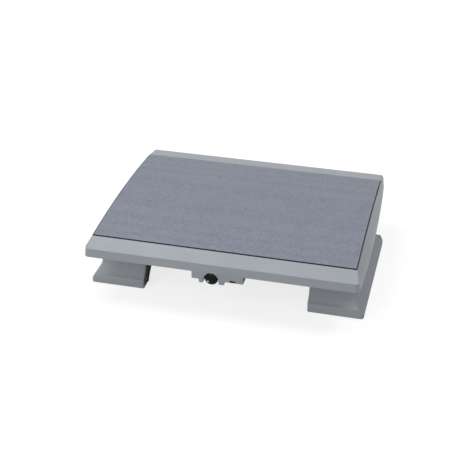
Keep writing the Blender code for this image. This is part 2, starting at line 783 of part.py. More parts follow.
def build_deck_shell(material):
    """Moulded deck with its skirt, bands, recess, ribs, saddles and posts."""
    bm = bmesh.new()
    add_lofted(bm, deck_rings())
    deck = make_object("deck_shell", bm, material)
    features = [saddle_block(-1.0), saddle_block(1.0)]
    features += [long_rib(side * RIB_SPACING) for side in (-1.0, 1.0)]
    cross_ribs = [cross_rib(FRONT_Y + setback) for setback in CROSS_RIB_SETBACKS]
    holes = []
    for place in saddle_screw_places():
        holes.append(screw_hole(place, AXIS_Z, SMALL_SCREW_BITE + CUT_OVERRUN))
    for place in housing_screw_places():
        features.append(housing_post(place))
        holes.append(screw_hole(place, HOUSING_TOP + CLEARANCE, HOUSING_SCREW_BITE + CLEARANCE))
    for place in guide_screw_places():
        seat = GUIDE_TOP + CLEARANCE
        top = ceiling_height(place[1]) + WELD_DEPTH
        features.append(rod('Z', place, GUIDE_POST_RADIUS, seat, top, SMALL_ROUND_STEPS))
        holes.append(screw_hole(place, seat, SMALL_SCREW_BITE + CUT_OVERRUN))
    for place in bumper_places():
        seat = BUMPER_TIP + BUMPER_HEIGHT + CLEARANCE
        top = ceiling_height(place[1]) + WELD_DEPTH
        features.append(rod('Z', place, BUMPER_RADIUS, seat, top, SMALL_ROUND_STEPS))
        hole = BUMPER_STUD_RADIUS + CLEARANCE
        ends = (seat - CUT_OVERRUN, seat + BUMPER_STUD_LENGTH)
        holes.append(rod('Z', place, hole, *ends, SMALL_ROUND_STEPS))
    join(deck, gather(features), gather(cross_ribs))
    cut(deck, gather(holes))
    return deck


def build_carpet(material):
    """Carpet pad that lies in the recess and follows the crown."""
    corner = RECESS_CORNER_RADIUS - CARPET_EDGE_GAP
    rings = [
        crowned_ring(CARPET_EDGE_GAP, RECESS_DEPTH - CLEARANCE, corner),
        crowned_ring(CARPET_EDGE_GAP, -CARPET_STANDS_PROUD / 2, corner),
        crowned_ring(CARPET_EDGE_GAP + CARPET_EDGE_ROUND, -CARPET_STANDS_PROUD, corner),
    ]
    bm = bmesh.new()
    add_lofted(bm, rings)
    return make_object("carpet", bm, material)


def roof_height(y):
    """Height of the pedestal's roof, which the tilting deck clears."""
    reach = y - AXIS_Y
    front = math.radians(FRONT_DOWN_DEGREES)
    rear = math.radians(REAR_DOWN_DEGREES)
    front_plane = ROOF_DISTANCE / math.cos(front) + reach * math.tan(front)
    rear_plane = ROOF_DISTANCE / math.cos(rear) - reach * math.tan(rear)
    return AXIS_Z + min(front_plane, rear_plane)


def pedestal_corner(inset):
    """Radius of the pedestal's outer corners where the cove has gone in this far."""
    return TOE_CORNER_RADIUS + (NECK_CORNER_RADIUS - TOE_CORNER_RADIUS) * inset / COVE_INSET


def pedestal_path(inset, offset):
    """Plan of the pedestal's wall at one level, from its front inner edge round to the rear one."""
    inner = PEDESTAL_INNER
    outer = PEDESTAL_OUTER - inset
    front = PEDESTAL_FRONT + inset
    rear = PEDESTAL_REAR - inset
    corner = pedestal_corner(inset)
    edge = INNER_EDGE_RADIUS
    half = [(inner + offset, front + RETURN_FLANGE)]
    turns = (QUARTER_TURN * 2, QUARTER_TURN * 3, QUARTER_TURN * 4)
    half += arc((inner + edge, front + edge), edge - offset, turns[0], turns[1], CORNER_STEPS)
    half += arc((outer - corner, front + corner), corner - offset, turns[1], turns[2], CORNER_STEPS)
    start = PEDESTAL_FRONT + COVE_INSET + TOE_CORNER_RADIUS
    end = PEDESTAL_REAR - COVE_INSET - TOE_CORNER_RADIUS
    middle = [(outer - offset, start + (end - start) * step / ROOF_STEPS) for step in range(ROOF_STEPS + 1)]
    back = [(x, front + rear - y) for x, y in reversed(half)]
    return half + middle + back


def pedestal_levels():
    """Levels of the pedestal's wall as (inset, height), from the floor to the top of the cove."""
    levels = [(0.0, PEDESTAL_LIFT), (0.0, TOE_HEIGHT)]
    edge = TOE_ROUND * (1.0 - math.cos(EIGHTH_TURN))
    levels.append((edge, TOE_HEIGHT + TOE_ROUND * math.sin(EIGHTH_TURN)))
    start = math.radians(COVE_START_DEGREES)
    reach = (COVE_INSET - TOE_ROUND) / (1.0 - math.sin(start))
    foot = TOE_HEIGHT + TOE_ROUND
    rise = (NECK_HEIGHT - foot) / math.cos(start)
    for step in range(COVE_STEPS + 1):
        angle = start + (math.pi / 2 - start) * step / COVE_STEPS
        inset = TOE_ROUND + reach * (math.sin(angle) - math.sin(start))
        levels.append((inset, foot + rise * (math.cos(start) - math.cos(angle))))
    return levels


def wall_height(inset, height, x, offset):
    """Height of one point of the wall at a level: the toe and the cove run lower along the outer flank."""
    share = inset / COVE_INSET
    fall = min(OUTER_TOE_DROP * (1.0 - share * share), height - PEDESTAL_LIFT)
    corner = pedestal_corner(inset)
    turn = (x - PEDESTAL_OUTER + inset + corner) / (corner - offset)
    return height - fall * min(1.0, max(0.0, turn))


def pedestal_rows(offset):
    """Rows of points of the pedestal's outer skin, or of its inner skin one wall inside."""
    rows = []
    for inset, height in pedestal_levels():
        path = pedestal_path(inset, offset)
        rows.append([Vector((x, y, wall_height(inset, height, x, offset))) for x, y in path])
    for drop in (ROOF_LIP, offset):
        path = pedestal_path(COVE_INSET, offset)
        rows.append([Vector((x, y, roof_height(y) - drop)) for x, y in path])
    return rows


def add_pedestal_skin(bm, offset):
    """Add one skin with its roof; return its rows and the two edges of the roof's lip."""
    rows = [[bm.verts.new(point) for point in row] for row in pedestal_rows(offset)]
    for lower, upper in zip(rows, rows[1:]):
        for step in range(len(lower) - 1):
            bm.faces.new((lower[step], lower[step + 1], upper[step + 1], upper[step]))
    top = rows[-1]
    low = rows[-2]
    count = CORNER_STEPS + 1
    first_station = 1 + 2 * count
    stations = top[first_station:first_station + ROOF_STEPS + 1]
    lip_top = [top[0]]
    lip_low = [low[0]]
    for station in stations[1:-1]:
        x = PEDESTAL_INNER + offset
        y = station.co.y
        lip_top.append(bm.verts.new((x, y, station.co.z)))
        lip_low.append(bm.verts.new((x, y, roof_height(y) - ROOF_LIP)))
    lip_top.append(top[-1])
    lip_low.append(low[-1])
    inner_side = list(reversed(top[1:1 + count])) + lip_top + list(reversed(top[-1 - count:-1]))
    outer_side = top[1 + count:first_station] + stations + top[first_station + ROOF_STEPS + 1:-1 - count]
    for step in range(len(outer_side) - 1):
        corners = (inner_side[step], outer_side[step], outer_side[step + 1], inner_side[step + 1])
        bm.faces.new(corners)
    for step in range(len(lip_top) - 1):
        bm.faces.new((lip_top[step], lip_top[step + 1], lip_low[step + 1], lip_low[step]))
    return rows, lip_low


def build_pedestal_shell(material):
    """Right pedestal before its bosses and webs are added."""
    bm = bmesh.new()
    outer, outer_lip = add_pedestal_skin(bm, 0.0)
    inner, inner_lip = add_pedestal_skin(bm, PEDESTAL_WALL)
    for step in range(len(outer[0]) - 1):
        bm.faces.new((outer[0][step], outer[0][step + 1], inner[0][step + 1], inner[0][step]))
    for end in (0, -1):
        for level in range(len(outer) - 2):
            bm.faces.new((
                outer[level][end],
                outer[level + 1][end],
                inner[level + 1][end],
                inner[level][end],
            ))
    for step in range(len(outer_lip) - 1):
        bm.faces.new((outer_lip[step], outer_lip[step + 1], inner_lip[step + 1], inner_lip[step]))
    return make_object("right_pedestal", bm, material)


def pad_places():
    """Middle of each rubber foot under the right pedestal as (x, y)."""
    web = PAD_RADIUS + PAD_WEB_MARGIN
    inner_x = CHEEK_BACK + CLEARANCE + CUT_OVERRUN + web
    outer_x = PEDESTAL_OUTER - PEDESTAL_WALL - web + CUT_OVERRUN
    front_y = PEDESTAL_FRONT + PEDESTAL_WALL + web - CUT_OVERRUN
    rear_y = PEDESTAL_REAR - PEDESTAL_WALL - web + CUT_OVERRUN
    return [(x, y) for x in (inner_x, outer_x) for y in (front_y, rear_y)]


def post_places():
    """Middle of each cheek screw as (y, z), low and high at the front and the rear."""
    places = []
    for direction, wall in ((1.0, PEDESTAL_FRONT), (-1.0, PEDESTAL_REAR)):
        places.append((wall + direction * POST_SETBACK, LOW_POST_HEIGHT))
        y = wall + direction * (COVE_INSET + POST_SETBACK)
        places.append((y, roof_height(y) - HIGH_POST_DROP))
    return places


def post_arms():
    """Short webs that tie each screw post to the wall beside it."""
    arms = []
    start = CHEEK_BACK + CLEARANCE
    half = SHELL_POST_RADIUS / 2
    for direction, wall in ((1.0, PEDESTAL_FRONT), (-1.0, PEDESTAL_REAR)):
        low = (wall + direction * POST_SETBACK, LOW_POST_HEIGHT)
        high_y = wall + direction * (COVE_INSET + POST_SETBACK)
        high = (high_y, roof_height(high_y) - HIGH_POST_DROP)
        for (y, z), face in ((low, wall), (high, wall + direction * COVE_INSET)):
            ends = sorted((face + direction * (PEDESTAL_WALL - WELD_DEPTH), y))
            arms.append(box((start, ends[0], z - half), (start + SHELL_POST_LENGTH, ends[1], z + half)))
    return arms


def build_pedestal(material):
    """Right pedestal with its tube boss, screw posts and webs for the feet."""
    pedestal = build_pedestal_shell(material)
    boss_start = NECK_INNER_FACE - TUBE_BOSS_LENGTH
    boss_end = NECK_INNER_FACE + WELD_DEPTH
    features = [rod('X', (AXIS_Y, AXIS_Z), TUBE_RADIUS + TUBE_BOSS_WALL, boss_start, boss_end)]
    post_start = CHEEK_BACK + CLEARANCE
    for place in post_places():
        features.append(rod('X', place, SHELL_POST_RADIUS, post_start, post_start + SHELL_POST_LENGTH))
    web_bottom = PAD_HEIGHT + CLEARANCE
    web_top = web_bottom + PAD_WEB_THICKNESS
    for place in pad_places():
        features.append(rod('Z', place, PAD_RADIUS + PAD_WEB_MARGIN, web_bottom, web_top))
    join(pedestal, gather(features), gather(post_arms()))
    seat = TUBE_END + CLEARANCE
    bore = TUBE_RADIUS + CLEARANCE
    holes = [rod('X', (AXIS_Y, AXIS_Z), bore, boss_start - CUT_OVERRUN, seat)]
    for place in post_places():
        end = post_start + SMALL_SCREW_BITE + CUT_OVERRUN
        radius = SMALL_SCREW_RADIUS + CLEARANCE
        holes.append(rod('X', place, radius, post_start - CUT_OVERRUN, end, SMALL_ROUND_STEPS))
    for place in pad_places():
        radius = PAD_STUD_RADIUS + CLEARANCE
        low = web_bottom - CUT_OVERRUN
        holes.append(rod('Z', place, radius, low, web_top + CUT_OVERRUN, SMALL_ROUND_STEPS))
    cut(pedestal, gather(holes))
    return pedestal


def build_foot_pads(material):
    """Four rubber feet under the right pedestal, each with a stud through its web."""
    stud_top = PAD_HEIGHT + CLEARANCE + PAD_WEB_THICKNESS + PAD_STUD_PROUD
    profile = [
        (PAD_RADIUS - PAD_CHAMFER, 0.0),
        (PAD_RADIUS, PAD_CHAMFER),
        (PAD_RADIUS, PAD_HEIGHT),
        (PAD_STUD_RADIUS, PAD_HEIGHT),
        (PAD_STUD_RADIUS, stud_top),
    ]
    return turned_set("right_foot_pad", 'Z', pad_places(), profile, material)


def arch_outline(margin):
    """Arch of the cheek as (y, z), from front to rear, grown by a margin."""
    rise = ARCH_HEIGHT + ARCH_CENTRE_DROP
    foot_share = (PEDESTAL_LIFT + ARCH_CENTRE_DROP) / rise
    half_span = (PEDESTAL_DEPTH / 2 - CHEEK_FOOT) / math.sqrt(1.0 - foot_share * foot_share)
    start = math.asin((PEDESTAL_LIFT + ARCH_CENTRE_DROP) / (rise + margin))
    points = []
    for step in range(ARC_STEPS + 1):
        angle = math.pi - start - (math.pi - start * 2) * step / ARC_STEPS
        y = AXIS_Y + (half_span + margin) * math.cos(angle)
        points.append((y, (rise + margin) * math.sin(angle) - ARCH_CENTRE_DROP))
    return points


def cheek_outline():
    """Outline of the cheek plate as (y, z), inside the pedestal's walls and over the arch."""
    inset = INNER_EDGE_RADIUS + CLEARANCE
    front = []
    for step_inset, height in pedestal_levels():
        front.append((PEDESTAL_FRONT + step_inset + inset, height))
    rear = [(PEDESTAL_FRONT + PEDESTAL_REAR - y, z) for y, z in reversed(front)]
    roof = []
    drop = PEDESTAL_WALL + CLEARANCE
    start = front[-1][0]
    end = rear[0][0]
    for step in range(ROOF_STEPS + 1):
        y = start + (end - start) * step / ROOF_STEPS
        roof.append((y, roof_height(y) - drop))
    arch = list(reversed(arch_outline(0.0)))
    return front + roof + rear + arch


def build_cheek(material):
    """Right cheek: plate with an arch, its rim, the pivot hub and the stretcher socket."""
    cheek = prism('X', cheek_outline(), CHEEK_FACE, CHEEK_BACK)
    cheek.name = "right_cheek"
    cheek.data.materials.append(material)
    rim_start = PEDESTAL_INNER + CLEARANCE
    band = arch_outline(ARCH_RIM) + list(reversed(arch_outline(0.0)))
    rim = prism('X', band, rim_start, CHEEK_FACE + WELD_DEPTH)
    hub_end = CHEEK_BACK + CHEEK_HUB_LENGTH
    hub = rod('X', (AXIS_Y, AXIS_Z), CHEEK_HUB_RADIUS, PEDESTAL_INNER, hub_end)
    socket_radius = STRETCHER_RADIUS + CLEARANCE + SOCKET_WALL
    socket_start = CHEEK_FACE - SOCKET_LENGTH
    socket = rod('X', (STRETCHER_Y, STRETCHER_Z), socket_radius, socket_start, CHEEK_FACE + WELD_DEPTH)
    join(cheek, rim, hub, socket)
    bore_start = PEDESTAL_INNER - CUT_OVERRUN
    bore = rod('X', (AXIS_Y, AXIS_Z), TUBE_RADIUS + CLEARANCE, bore_start, hub_end + CUT_OVERRUN)
    far_side = CHEEK_BACK + CUT_OVERRUN
    centre = (STRETCHER_Y, STRETCHER_Z)
    seat = rod('X', centre, STRETCHER_RADIUS + CLEARANCE, socket_start - CUT_OVERRUN, CHEEK_FACE)
    start = CHEEK_FACE - CUT_OVERRUN
    bolt = rod('X', centre, BOLT_RADIUS + CLEARANCE, start, far_side, SMALL_ROUND_STEPS)
    holes = [bore, seat]
    for place in post_places():
        radius = SMALL_SCREW_RADIUS + CLEARANCE
        holes.append(rod('X', place, radius, start, far_side, SMALL_ROUND_STEPS))
    cut(cheek, gather(holes), gather([bolt, set_screw_cutter(1.0)]))
    return cheek


def set_screw_x():
    """Place of the tube's set screw along the cheek's hub."""
    return CHEEK_BACK + CHEEK_HUB_LENGTH / 2


def set_screw_bottom():
    """Outer end of the set screw, sunk just inside the hub."""
    return AXIS_Z - CHEEK_HUB_RADIUS + PIN_INSET


def set_screw_cutter(side):
    """Hole for the set screw through hub and tube wall."""
    top = set_screw_bottom() + SET_SCREW_LENGTH + CUT_OVERRUN
    bottom = AXIS_Z - CHEEK_HUB_RADIUS - CUT_OVERRUN
    place = (side * set_screw_x(), AXIS_Y)
    return rod('Z', place, SET_SCREW_RADIUS + CLEARANCE, bottom, top, SMALL_ROUND_STEPS)


def build_cheek_screws(material):
    """Four screws that hold the right cheek to its pedestal."""
    seat = CHEEK_FACE - CLEARANCE
    length = CLEARANCE + CHEEK_THICKNESS + CLEARANCE + SMALL_SCREW_BITE
    profile = small_screw_profile(seat, length)
    return turned_set("right_cheek_screw", 'X', post_places(), profile, material)


def build_pivot_tube(material):
    """Steel tube through both cheeks, the tilt axis of the deck."""
    bm = bmesh.new()
    profile = tube_profile(TUBE_RADIUS - TUBE_WALL, TUBE_RADIUS, -TUBE_END, TUBE_END)
    add_turned_tube(bm, 'X', (AXIS_Y, AXIS_Z), profile)
    tube = make_object("pivot_tube", bm, material)
    cut(tube, pin_cutter(), set_screw_cutter(1.0), set_screw_cutter(-1.0))
    return tube


def pin_cutter():
    """Hole for the sector's cross pin."""
    reach = SECTOR_HUB_RADIUS + CUT_OVERRUN
    ends = (AXIS_Z - reach, AXIS_Z + reach)
    return rod('Z', (LOCK_X, AXIS_Y), PIN_RADIUS + CLEARANCE, *ends, SMALL_ROUND_STEPS)


def build_set_screws(material):
    """Two set screws that lock the pivot tube in the cheeks."""
    bottom = set_screw_bottom()
    recess = bottom + DRIVE_RECESS_DEPTH
    top = bottom + SET_SCREW_LENGTH
    profile = [
        (DRIVE_RECESS_RADIUS, recess),
        (DRIVE_RECESS_RADIUS, bottom),
        (SET_SCREW_RADIUS, bottom),
        (SET_SCREW_RADIUS, top),
    ]
    places = [(side * set_screw_x(), AXIS_Y) for side in (-1.0, 1.0)]
    return turned_set("tube_set_screw", 'Z', places, profile, material)


def build_stretcher(material):
    """Steel tube that ties the two cheeks together behind the pivot."""
    bm = bmesh.new()
    inner = STRETCHER_RADIUS - STRETCHER_WALL
    profile = tube_profile(inner, STRETCHER_RADIUS, -STRETCHER_END, STRETCHER_END)
    add_turned_tube(bm, 'X', (STRETCHER_Y, STRETCHER_Z), profile)
    return make_object("stretcher_tube", bm, material)


def build_stretcher_plug(material):
    """Threaded plug in the right end of the stretcher tube."""
    bm = bmesh.new()
    radius = STRETCHER_RADIUS - STRETCHER_WALL - CLEARANCE
    profile = tube_profile(BOLT_RADIUS + CLEARANCE, radius, STRETCHER_END - PLUG_LENGTH, STRETCHER_END)
    add_turned_tube(bm, 'X', (STRETCHER_Y, STRETCHER_Z), profile)
    return make_object("right_stretcher_plug", bm, material)


def build_stretcher_bolt(material):
    """Bolt through the right cheek into the stretcher's plug."""
    bm = bmesh.new()
    length = CLEARANCE + CHEEK_THICKNESS + BOLT_BITE
    size = (BOLT_RADIUS, BOLT_HEAD_RADIUS, BOLT_HEAD)
    profile = screw_profile(CHEEK_BACK + CLEARANCE, -1.0, *size, length)
    add_turned(bm, 'X', (STRETCHER_Y, STRETCHER_Z), profile, SMALL_ROUND_STEPS)
    return make_object("right_stretcher_bolt", bm, material)


def sector_points(radius, first_degrees, last_degrees):
    """Points on an arc about the tilt axis; zero degrees faces the front and turns downward."""
    points = []
    for step in range(ARC_STEPS + 1):
        angle = math.radians(first_degrees + (last_degrees - first_degrees) * step / ARC_STEPS)
        points.append((AXIS_Y - radius * math.cos(angle), AXIS_Z - radius * math.sin(angle)))
    return points


def build_sector(material):
    """Tilt sector: hub on the tube, curved brake rim and a tail that rests on the stretcher."""
    pad = math.degrees(math.asin(LINING_HEIGHT / 2 / LINING_REACH))
    low = FRONT_DOWN_DEGREES + pad + SECTOR_SPARE_DEGREES
    high = -REAR_DOWN_DEGREES - pad - SECTOR_SPARE_DEGREES
    half = SECTOR_PLATE / 2
    bm = bmesh.new()
    hub_half = SECTOR_HUB_LENGTH / 2
    hub = rod_profile(SECTOR_HUB_RADIUS, LOCK_X - hub_half, LOCK_X + hub_half)
    add_turned(bm, 'X', (AXIS_Y, AXIS_Z), hub)
    sector = make_object("tilt_sector", bm, material)
    edge = SECTOR_SPARE_DEGREES / 2
    fan = [(AXIS_Y, AXIS_Z)] + sector_points(SECTOR_RADIUS - WELD_DEPTH, high + edge, low - edge)
    wedge = prism('X', fan, LOCK_X - half, LOCK_X + half)
    inner = SECTOR_RADIUS - SECTOR_RIM
    rim_outline = sector_points(SECTOR_RADIUS, high, low)
    rim_outline += list(reversed(sector_points(inner, high, low)))
    rim_half = SECTOR_RIM_WIDTH / 2
    rim = prism('X', rim_outline, LOCK_X - rim_half, LOCK_X + rim_half)
    tail = tail_bar(TAIL_PLATE / 2)
    ring_radius = STRETCHER_RADIUS + CLEARANCE + TAIL_RING_WALL
    ring = rod('X', (STRETCHER_Y, STRETCHER_Z), ring_radius, LOCK_X - rim_half, LOCK_X + rim_half)
    join(sector, wedge, rim, tail, ring)
    ends = (LOCK_X - hub_half - CUT_OVERRUN, LOCK_X + hub_half + CUT_OVERRUN)
    bore = rod('X', (AXIS_Y, AXIS_Z), TUBE_RADIUS + CLEARANCE, *ends)
    eye = rod('X', (STRETCHER_Y, STRETCHER_Z), STRETCHER_RADIUS + CLEARANCE, *ends)
    cut(sector, gather([bore, eye, sector_window(low, high)]), pin_cutter())
    return sector


def tail_bar(half):
    """Bar from the sector's hub to the ring round the stretcher."""
    start = Vector((AXIS_Y, AXIS_Z))
    end = Vector((STRETCHER_Y, STRETCHER_Z))
    side = (end - start).normalized().orthogonal() * TAIL_HALF_WIDTH
    outline = [tuple(start + side), tuple(end + side), tuple(end - side), tuple(start - side)]
    return prism('X', outline, LOCK_X - half, LOCK_X + half)


def sector_window(low, high):
    """Cutter that lightens the sector between its hub and its rim."""
    inner = SECTOR_HUB_RADIUS + SECTOR_WINDOW_MARGIN
    outer = SECTOR_RADIUS - SECTOR_RIM - SECTOR_WINDOW_MARGIN
    spare = math.degrees(SECTOR_WINDOW_MARGIN / inner)
    first = high + spare
    last = low - spare
    outline = sector_points(outer, first, last) + list(reversed(sector_points(inner, first, last)))
    reach = SECTOR_PLATE / 2 + CUT_OVERRUN
    return prism('X', outline, LOCK_X - reach, LOCK_X + reach)


def build_sector_pin(material):
    """Cross pin that keys the sector to the pivot tube."""
    bm = bmesh.new()
    reach = SECTOR_HUB_RADIUS - PIN_INSET
    profile = rod_profile(PIN_RADIUS, AXIS_Z - reach, AXIS_Z + reach)
    add_turned(bm, 'Z', (LOCK_X, AXIS_Y), profile, SMALL_ROUND_STEPS)
    return make_object("sector_pin", bm, material)


def build_bush(material):
    """Right bush between the deck's saddle and the pivot tube."""
    bm = bmesh.new()
    bore = TUBE_RADIUS + CLEARANCE
    flange = SADDLE_OUTER + CLEARANCE
    profile = [
        (bore, SADDLE_INNER),
        (BUSH_RADIUS, SADDLE_INNER),
        (BUSH_RADIUS, flange),
        (BUSH_RADIUS + BUSH_FLANGE_WALL, flange),
        (BUSH_RADIUS + BUSH_FLANGE_WALL, flange + BUSH_FLANGE),
        (bore, flange + BUSH_FLANGE),
    ]
    add_turned_tube(bm, 'X', (AXIS_Y, AXIS_Z), profile)
    return make_object("right_saddle_bush", bm, material)


def build_saddle_cap(material):
    """Right saddle cap: the lower half of the bearing, with an ear on each side."""
    top = AXIS_Z - CLEARANCE
    ear = top - CAP_EAR
    half = SADDLE_HALF_DEPTH
    outer = SADDLE_BORE + CAP_THICKNESS
    bottom = AXIS_Z - outer
    slope = half - EAR_WIDTH
    outline = [
        (AXIS_Y - half, top),
        (AXIS_Y - half, ear),
        (AXIS_Y - slope, ear),
        (AXIS_Y - slope / 2, bottom),
        (AXIS_Y + slope / 2, bottom),
        (AXIS_Y + slope, ear),
        (AXIS_Y + half, ear),
        (AXIS_Y + half, top),
    ]
    cap = prism('X', outline, SADDLE_INNER, SADDLE_OUTER)
    cap.name = "right_saddle_cap"
    cap.data.materials.append(material)
    reach = CUT_OVERRUN
    bore = rod('X', (AXIS_Y, AXIS_Z), SADDLE_BORE, SADDLE_INNER - reach, SADDLE_OUTER + reach)
    holes = [bore]
    for along in (-1.0, 1.0):
        place = (SADDLE_MIDDLE, AXIS_Y + along * SADDLE_SCREW_Y)
        radius = SMALL_SCREW_RADIUS + CLEARANCE
        holes.append(rod('Z', place, radius, ear - reach, top + reach, SMALL_ROUND_STEPS))
    cut(cap, *holes)
    return cap


def build_up_screws(name, places, seat, length, material):
    """Screws driven upward from below, heads at the seat."""
    return turned_set(name, 'Z', places, small_screw_profile(seat, length), material)


def build_bumpers(material):
    """Rubber stop buttons with a stud up into the deck's post."""
    top = BUMPER_TIP + BUMPER_HEIGHT
    stud_top = top + BUMPER_STUD_LENGTH
    profile = [
        (BUMPER_RADIUS - PAD_CHAMFER, BUMPER_TIP),
        (BUMPER_RADIUS, BUMPER_TIP + PAD_CHAMFER),
        (BUMPER_RADIUS, top),
        (BUMPER_STUD_RADIUS, top),
        (BUMPER_STUD_RADIUS, stud_top),
    ]
    return turned_set("stop_bumper", 'Z', bumper_places(), profile, material)


def hexagon(centre, flats, clearance):
    """Hexagon with its flats at top and bottom."""
    radius = (flats / 2 + clearance) / math.cos(math.pi / HEXAGON_SIDES)
    return arc(centre, radius, 0.0, QUARTER_TURN * 4, HEXAGON_SIDES)[:-1]


def housing_solid():
    """Outer block of the lock housing: flush below the skirt, tucked in behind it above."""
    shelf = SKIRT_BOTTOM - CLEARANCE
    outline = [
        (HOUSING_FRONT, HOUSING_BOTTOM),
        (HOUSING_REAR, HOUSING_BOTTOM),
        (HOUSING_REAR, HOUSING_TOP),
        (HOUSING_TUCK, HOUSING_TOP),
        (HOUSING_TUCK, shelf),
        (HOUSING_FRONT, shelf),
    ]
    return prism('X', outline, HOUSING_X0, HOUSING_X1)


def housing_cavity():
    """Room inside the lock housing, open underneath."""
    wall = HOUSING_WALL
    shelf = SKIRT_BOTTOM - CLEARANCE - wall
    tuck = HOUSING_TUCK + wall
    outline = [
        (HOUSING_FRONT + wall, HOUSING_BOTTOM - CUT_OVERRUN),
        (HOUSING_REAR - HOUSING_REAR_WALL, HOUSING_BOTTOM - CUT_OVERRUN),
        (HOUSING_REAR - HOUSING_REAR_WALL, HOUSING_TOP - wall),
        (tuck, HOUSING_TOP - wall),
        (tuck, shelf),
        (HOUSING_FRONT + wall, shelf),
    ]
    return prism('X', outline, HOUSING_X0 + wall, HOUSING_X1 - wall)


def build_housing(material):
    """Lock housing: front plate with the knob's arch and lugs, side walls and the nut's boss."""
    housing = housing_solid()
    housing.name = "lock_housing"
    housing.data.materials.append(material)
    cut(housing, housing_cavity())
    centre = (LOCK_X, AXIS_Z)
    sleeve_end = HOUSING_FRONT + ARCH_SLEEVE_LENGTH
    sleeve = rod('Y', centre, ARCH_RADIUS + ARCH_SLEEVE_WALL, HOUSING_FRONT, sleeve_end)
    reach = ARCH_RADIUS + ARCH_SLEEVE_WALL + CUT_OVERRUN
    below = box(
        (LOCK_X - reach, HOUSING_FRONT - CUT_OVERRUN, AXIS_Z - reach),
        (LOCK_X + reach, sleeve_end + CUT_OVERRUN, HOUSING_BOTTOM),
    )
    above = box(
        (LOCK_X - reach, HOUSING_FRONT - CUT_OVERRUN, SKIRT_BOTTOM - CLEARANCE),
        (LOCK_X + reach, HOUSING_TUCK, AXIS_Z + reach),
    )
    cut(sleeve, gather([below, above]))
    lug_bottom = AXIS_Z - LUG_DROP
    lug_top = HOUSING_BOTTOM + WELD_DEPTH
    lug_rear = HOUSING_FRONT + LUG_DEPTH
    left_edge = LOCK_X - ARCH_RADIUS
    right_edge = LOCK_X + ARCH_RADIUS
    lugs = gather([
        box((left_edge - LEFT_LUG_WIDTH, HOUSING_FRONT, lug_bottom), (left_edge, lug_rear, lug_top)),
        box((right_edge, HOUSING_FRONT, lug_bottom), (right_edge + RIGHT_LUG_WIDTH, lug_rear, lug_top)),
    ])
    boss_radius = NUT_FLATS / 2 / math.cos(math.pi / HEXAGON_SIDES) + NUT_BOSS_WALL
    boss = rod('Y', centre, boss_radius, NUT_FRONT, HOUSING_REAR)
    join(housing, sleeve, lugs, boss)
    arch = rod('Y', centre, ARCH_RADIUS, HOUSING_FRONT - CUT_OVERRUN, sleeve_end + CLEARANCE)
    hollow = hexagon(centre, NUT_FLATS, CLEARANCE)
    pocket = prism('Y', hollow, NUT_FRONT - CUT_OVERRUN, NUT_REAR + CLEARANCE)
    passage = rod('Y', centre, SCREW_RADIUS + CLEARANCE, NUT_REAR, HOUSING_REAR + CUT_OVERRUN)
    notch_x = LOCK_X + NOTCH_START
    notch_z = HOUSING_BOTTOM + NOTCH_SILL
    notch = box(
        (notch_x, HOUSING_FRONT - CUT_OVERRUN, notch_z),
        (notch_x + NOTCH_WIDTH, HOUSING_FRONT + HOUSING_WALL + CUT_OVERRUN, notch_z + NOTCH_HEIGHT),
    )
    holes = [arch, pocket, notch]
    for place in housing_screw_places():
        low = HOUSING_TOP - HOUSING_WALL - CUT_OVERRUN
        radius = SMALL_SCREW_RADIUS + CLEARANCE
        holes.append(rod('Z', place, radius, low, HOUSING_TOP + CUT_OVERRUN, SMALL_ROUND_STEPS))
    cut(housing, gather(holes), passage)
    return housing


def build_nut(material):
    """Hexagon nut that the lock screw turns in."""
    centre = (LOCK_X, AXIS_Z)
    nut = prism('Y', hexagon(centre, NUT_FLATS, 0.0), NUT_FRONT, NUT_REAR)
    nut.name = "lock_nut"
    nut.data.materials.append(material)
    ends = (NUT_FRONT - CUT_OVERRUN, NUT_REAR + CUT_OVERRUN)
    cut(nut, rod('Y', centre, SCREW_RADIUS + CLEARANCE, *ends))
    return nut


def fluted_ring(bm, radius, y):
    """Ring of points with shallow grip flutes."""
    ring = []
    steps = KNOB_FLUTES * 2
    for step in range(steps):
        angle = math.tau * step / steps
        reach = radius - KNOB_FLUTE_DEPTH * (1.0 - math.cos(angle * KNOB_FLUTES)) / 2
        across = LOCK_X + reach * math.cos(angle)
        ring.append(bm.verts.new(axis_point('Y', y, across, AXIS_Z + reach * math.sin(angle))))
    return ring


def build_knob(material):
    """Fluted knob with a dished face and a blind bore for the screw."""
    bm = bmesh.new()
    rim = KNOB_RADIUS - KNOB_EDGE
    rings = [
        fluted_ring(bm, rim * KNOB_DISH_SHARE, KNOB_FRONT + KNOB_DISH),
        fluted_ring(bm, rim, KNOB_FRONT),
        fluted_ring(bm, KNOB_RADIUS, KNOB_FRONT + KNOB_EDGE),
        fluted_ring(bm, KNOB_RADIUS, KNOB_REAR - KNOB_EDGE),
        fluted_ring(bm, rim, KNOB_REAR),
    ]
    for first, second in zip(rings, rings[1:]):
        bridge_rings(bm, first, second)
    bm.faces.new(rings[0])
    bm.faces.new(rings[-1])
    knob = make_object("lock_knob", bm, material)
    bore_start = KNOB_FRONT + KNOB_FACE
    cut(knob, rod('Y', (LOCK_X, AXIS_Z), SCREW_RADIUS + CLEARANCE, bore_start, KNOB_REAR + CUT_OVERRUN))
    return knob


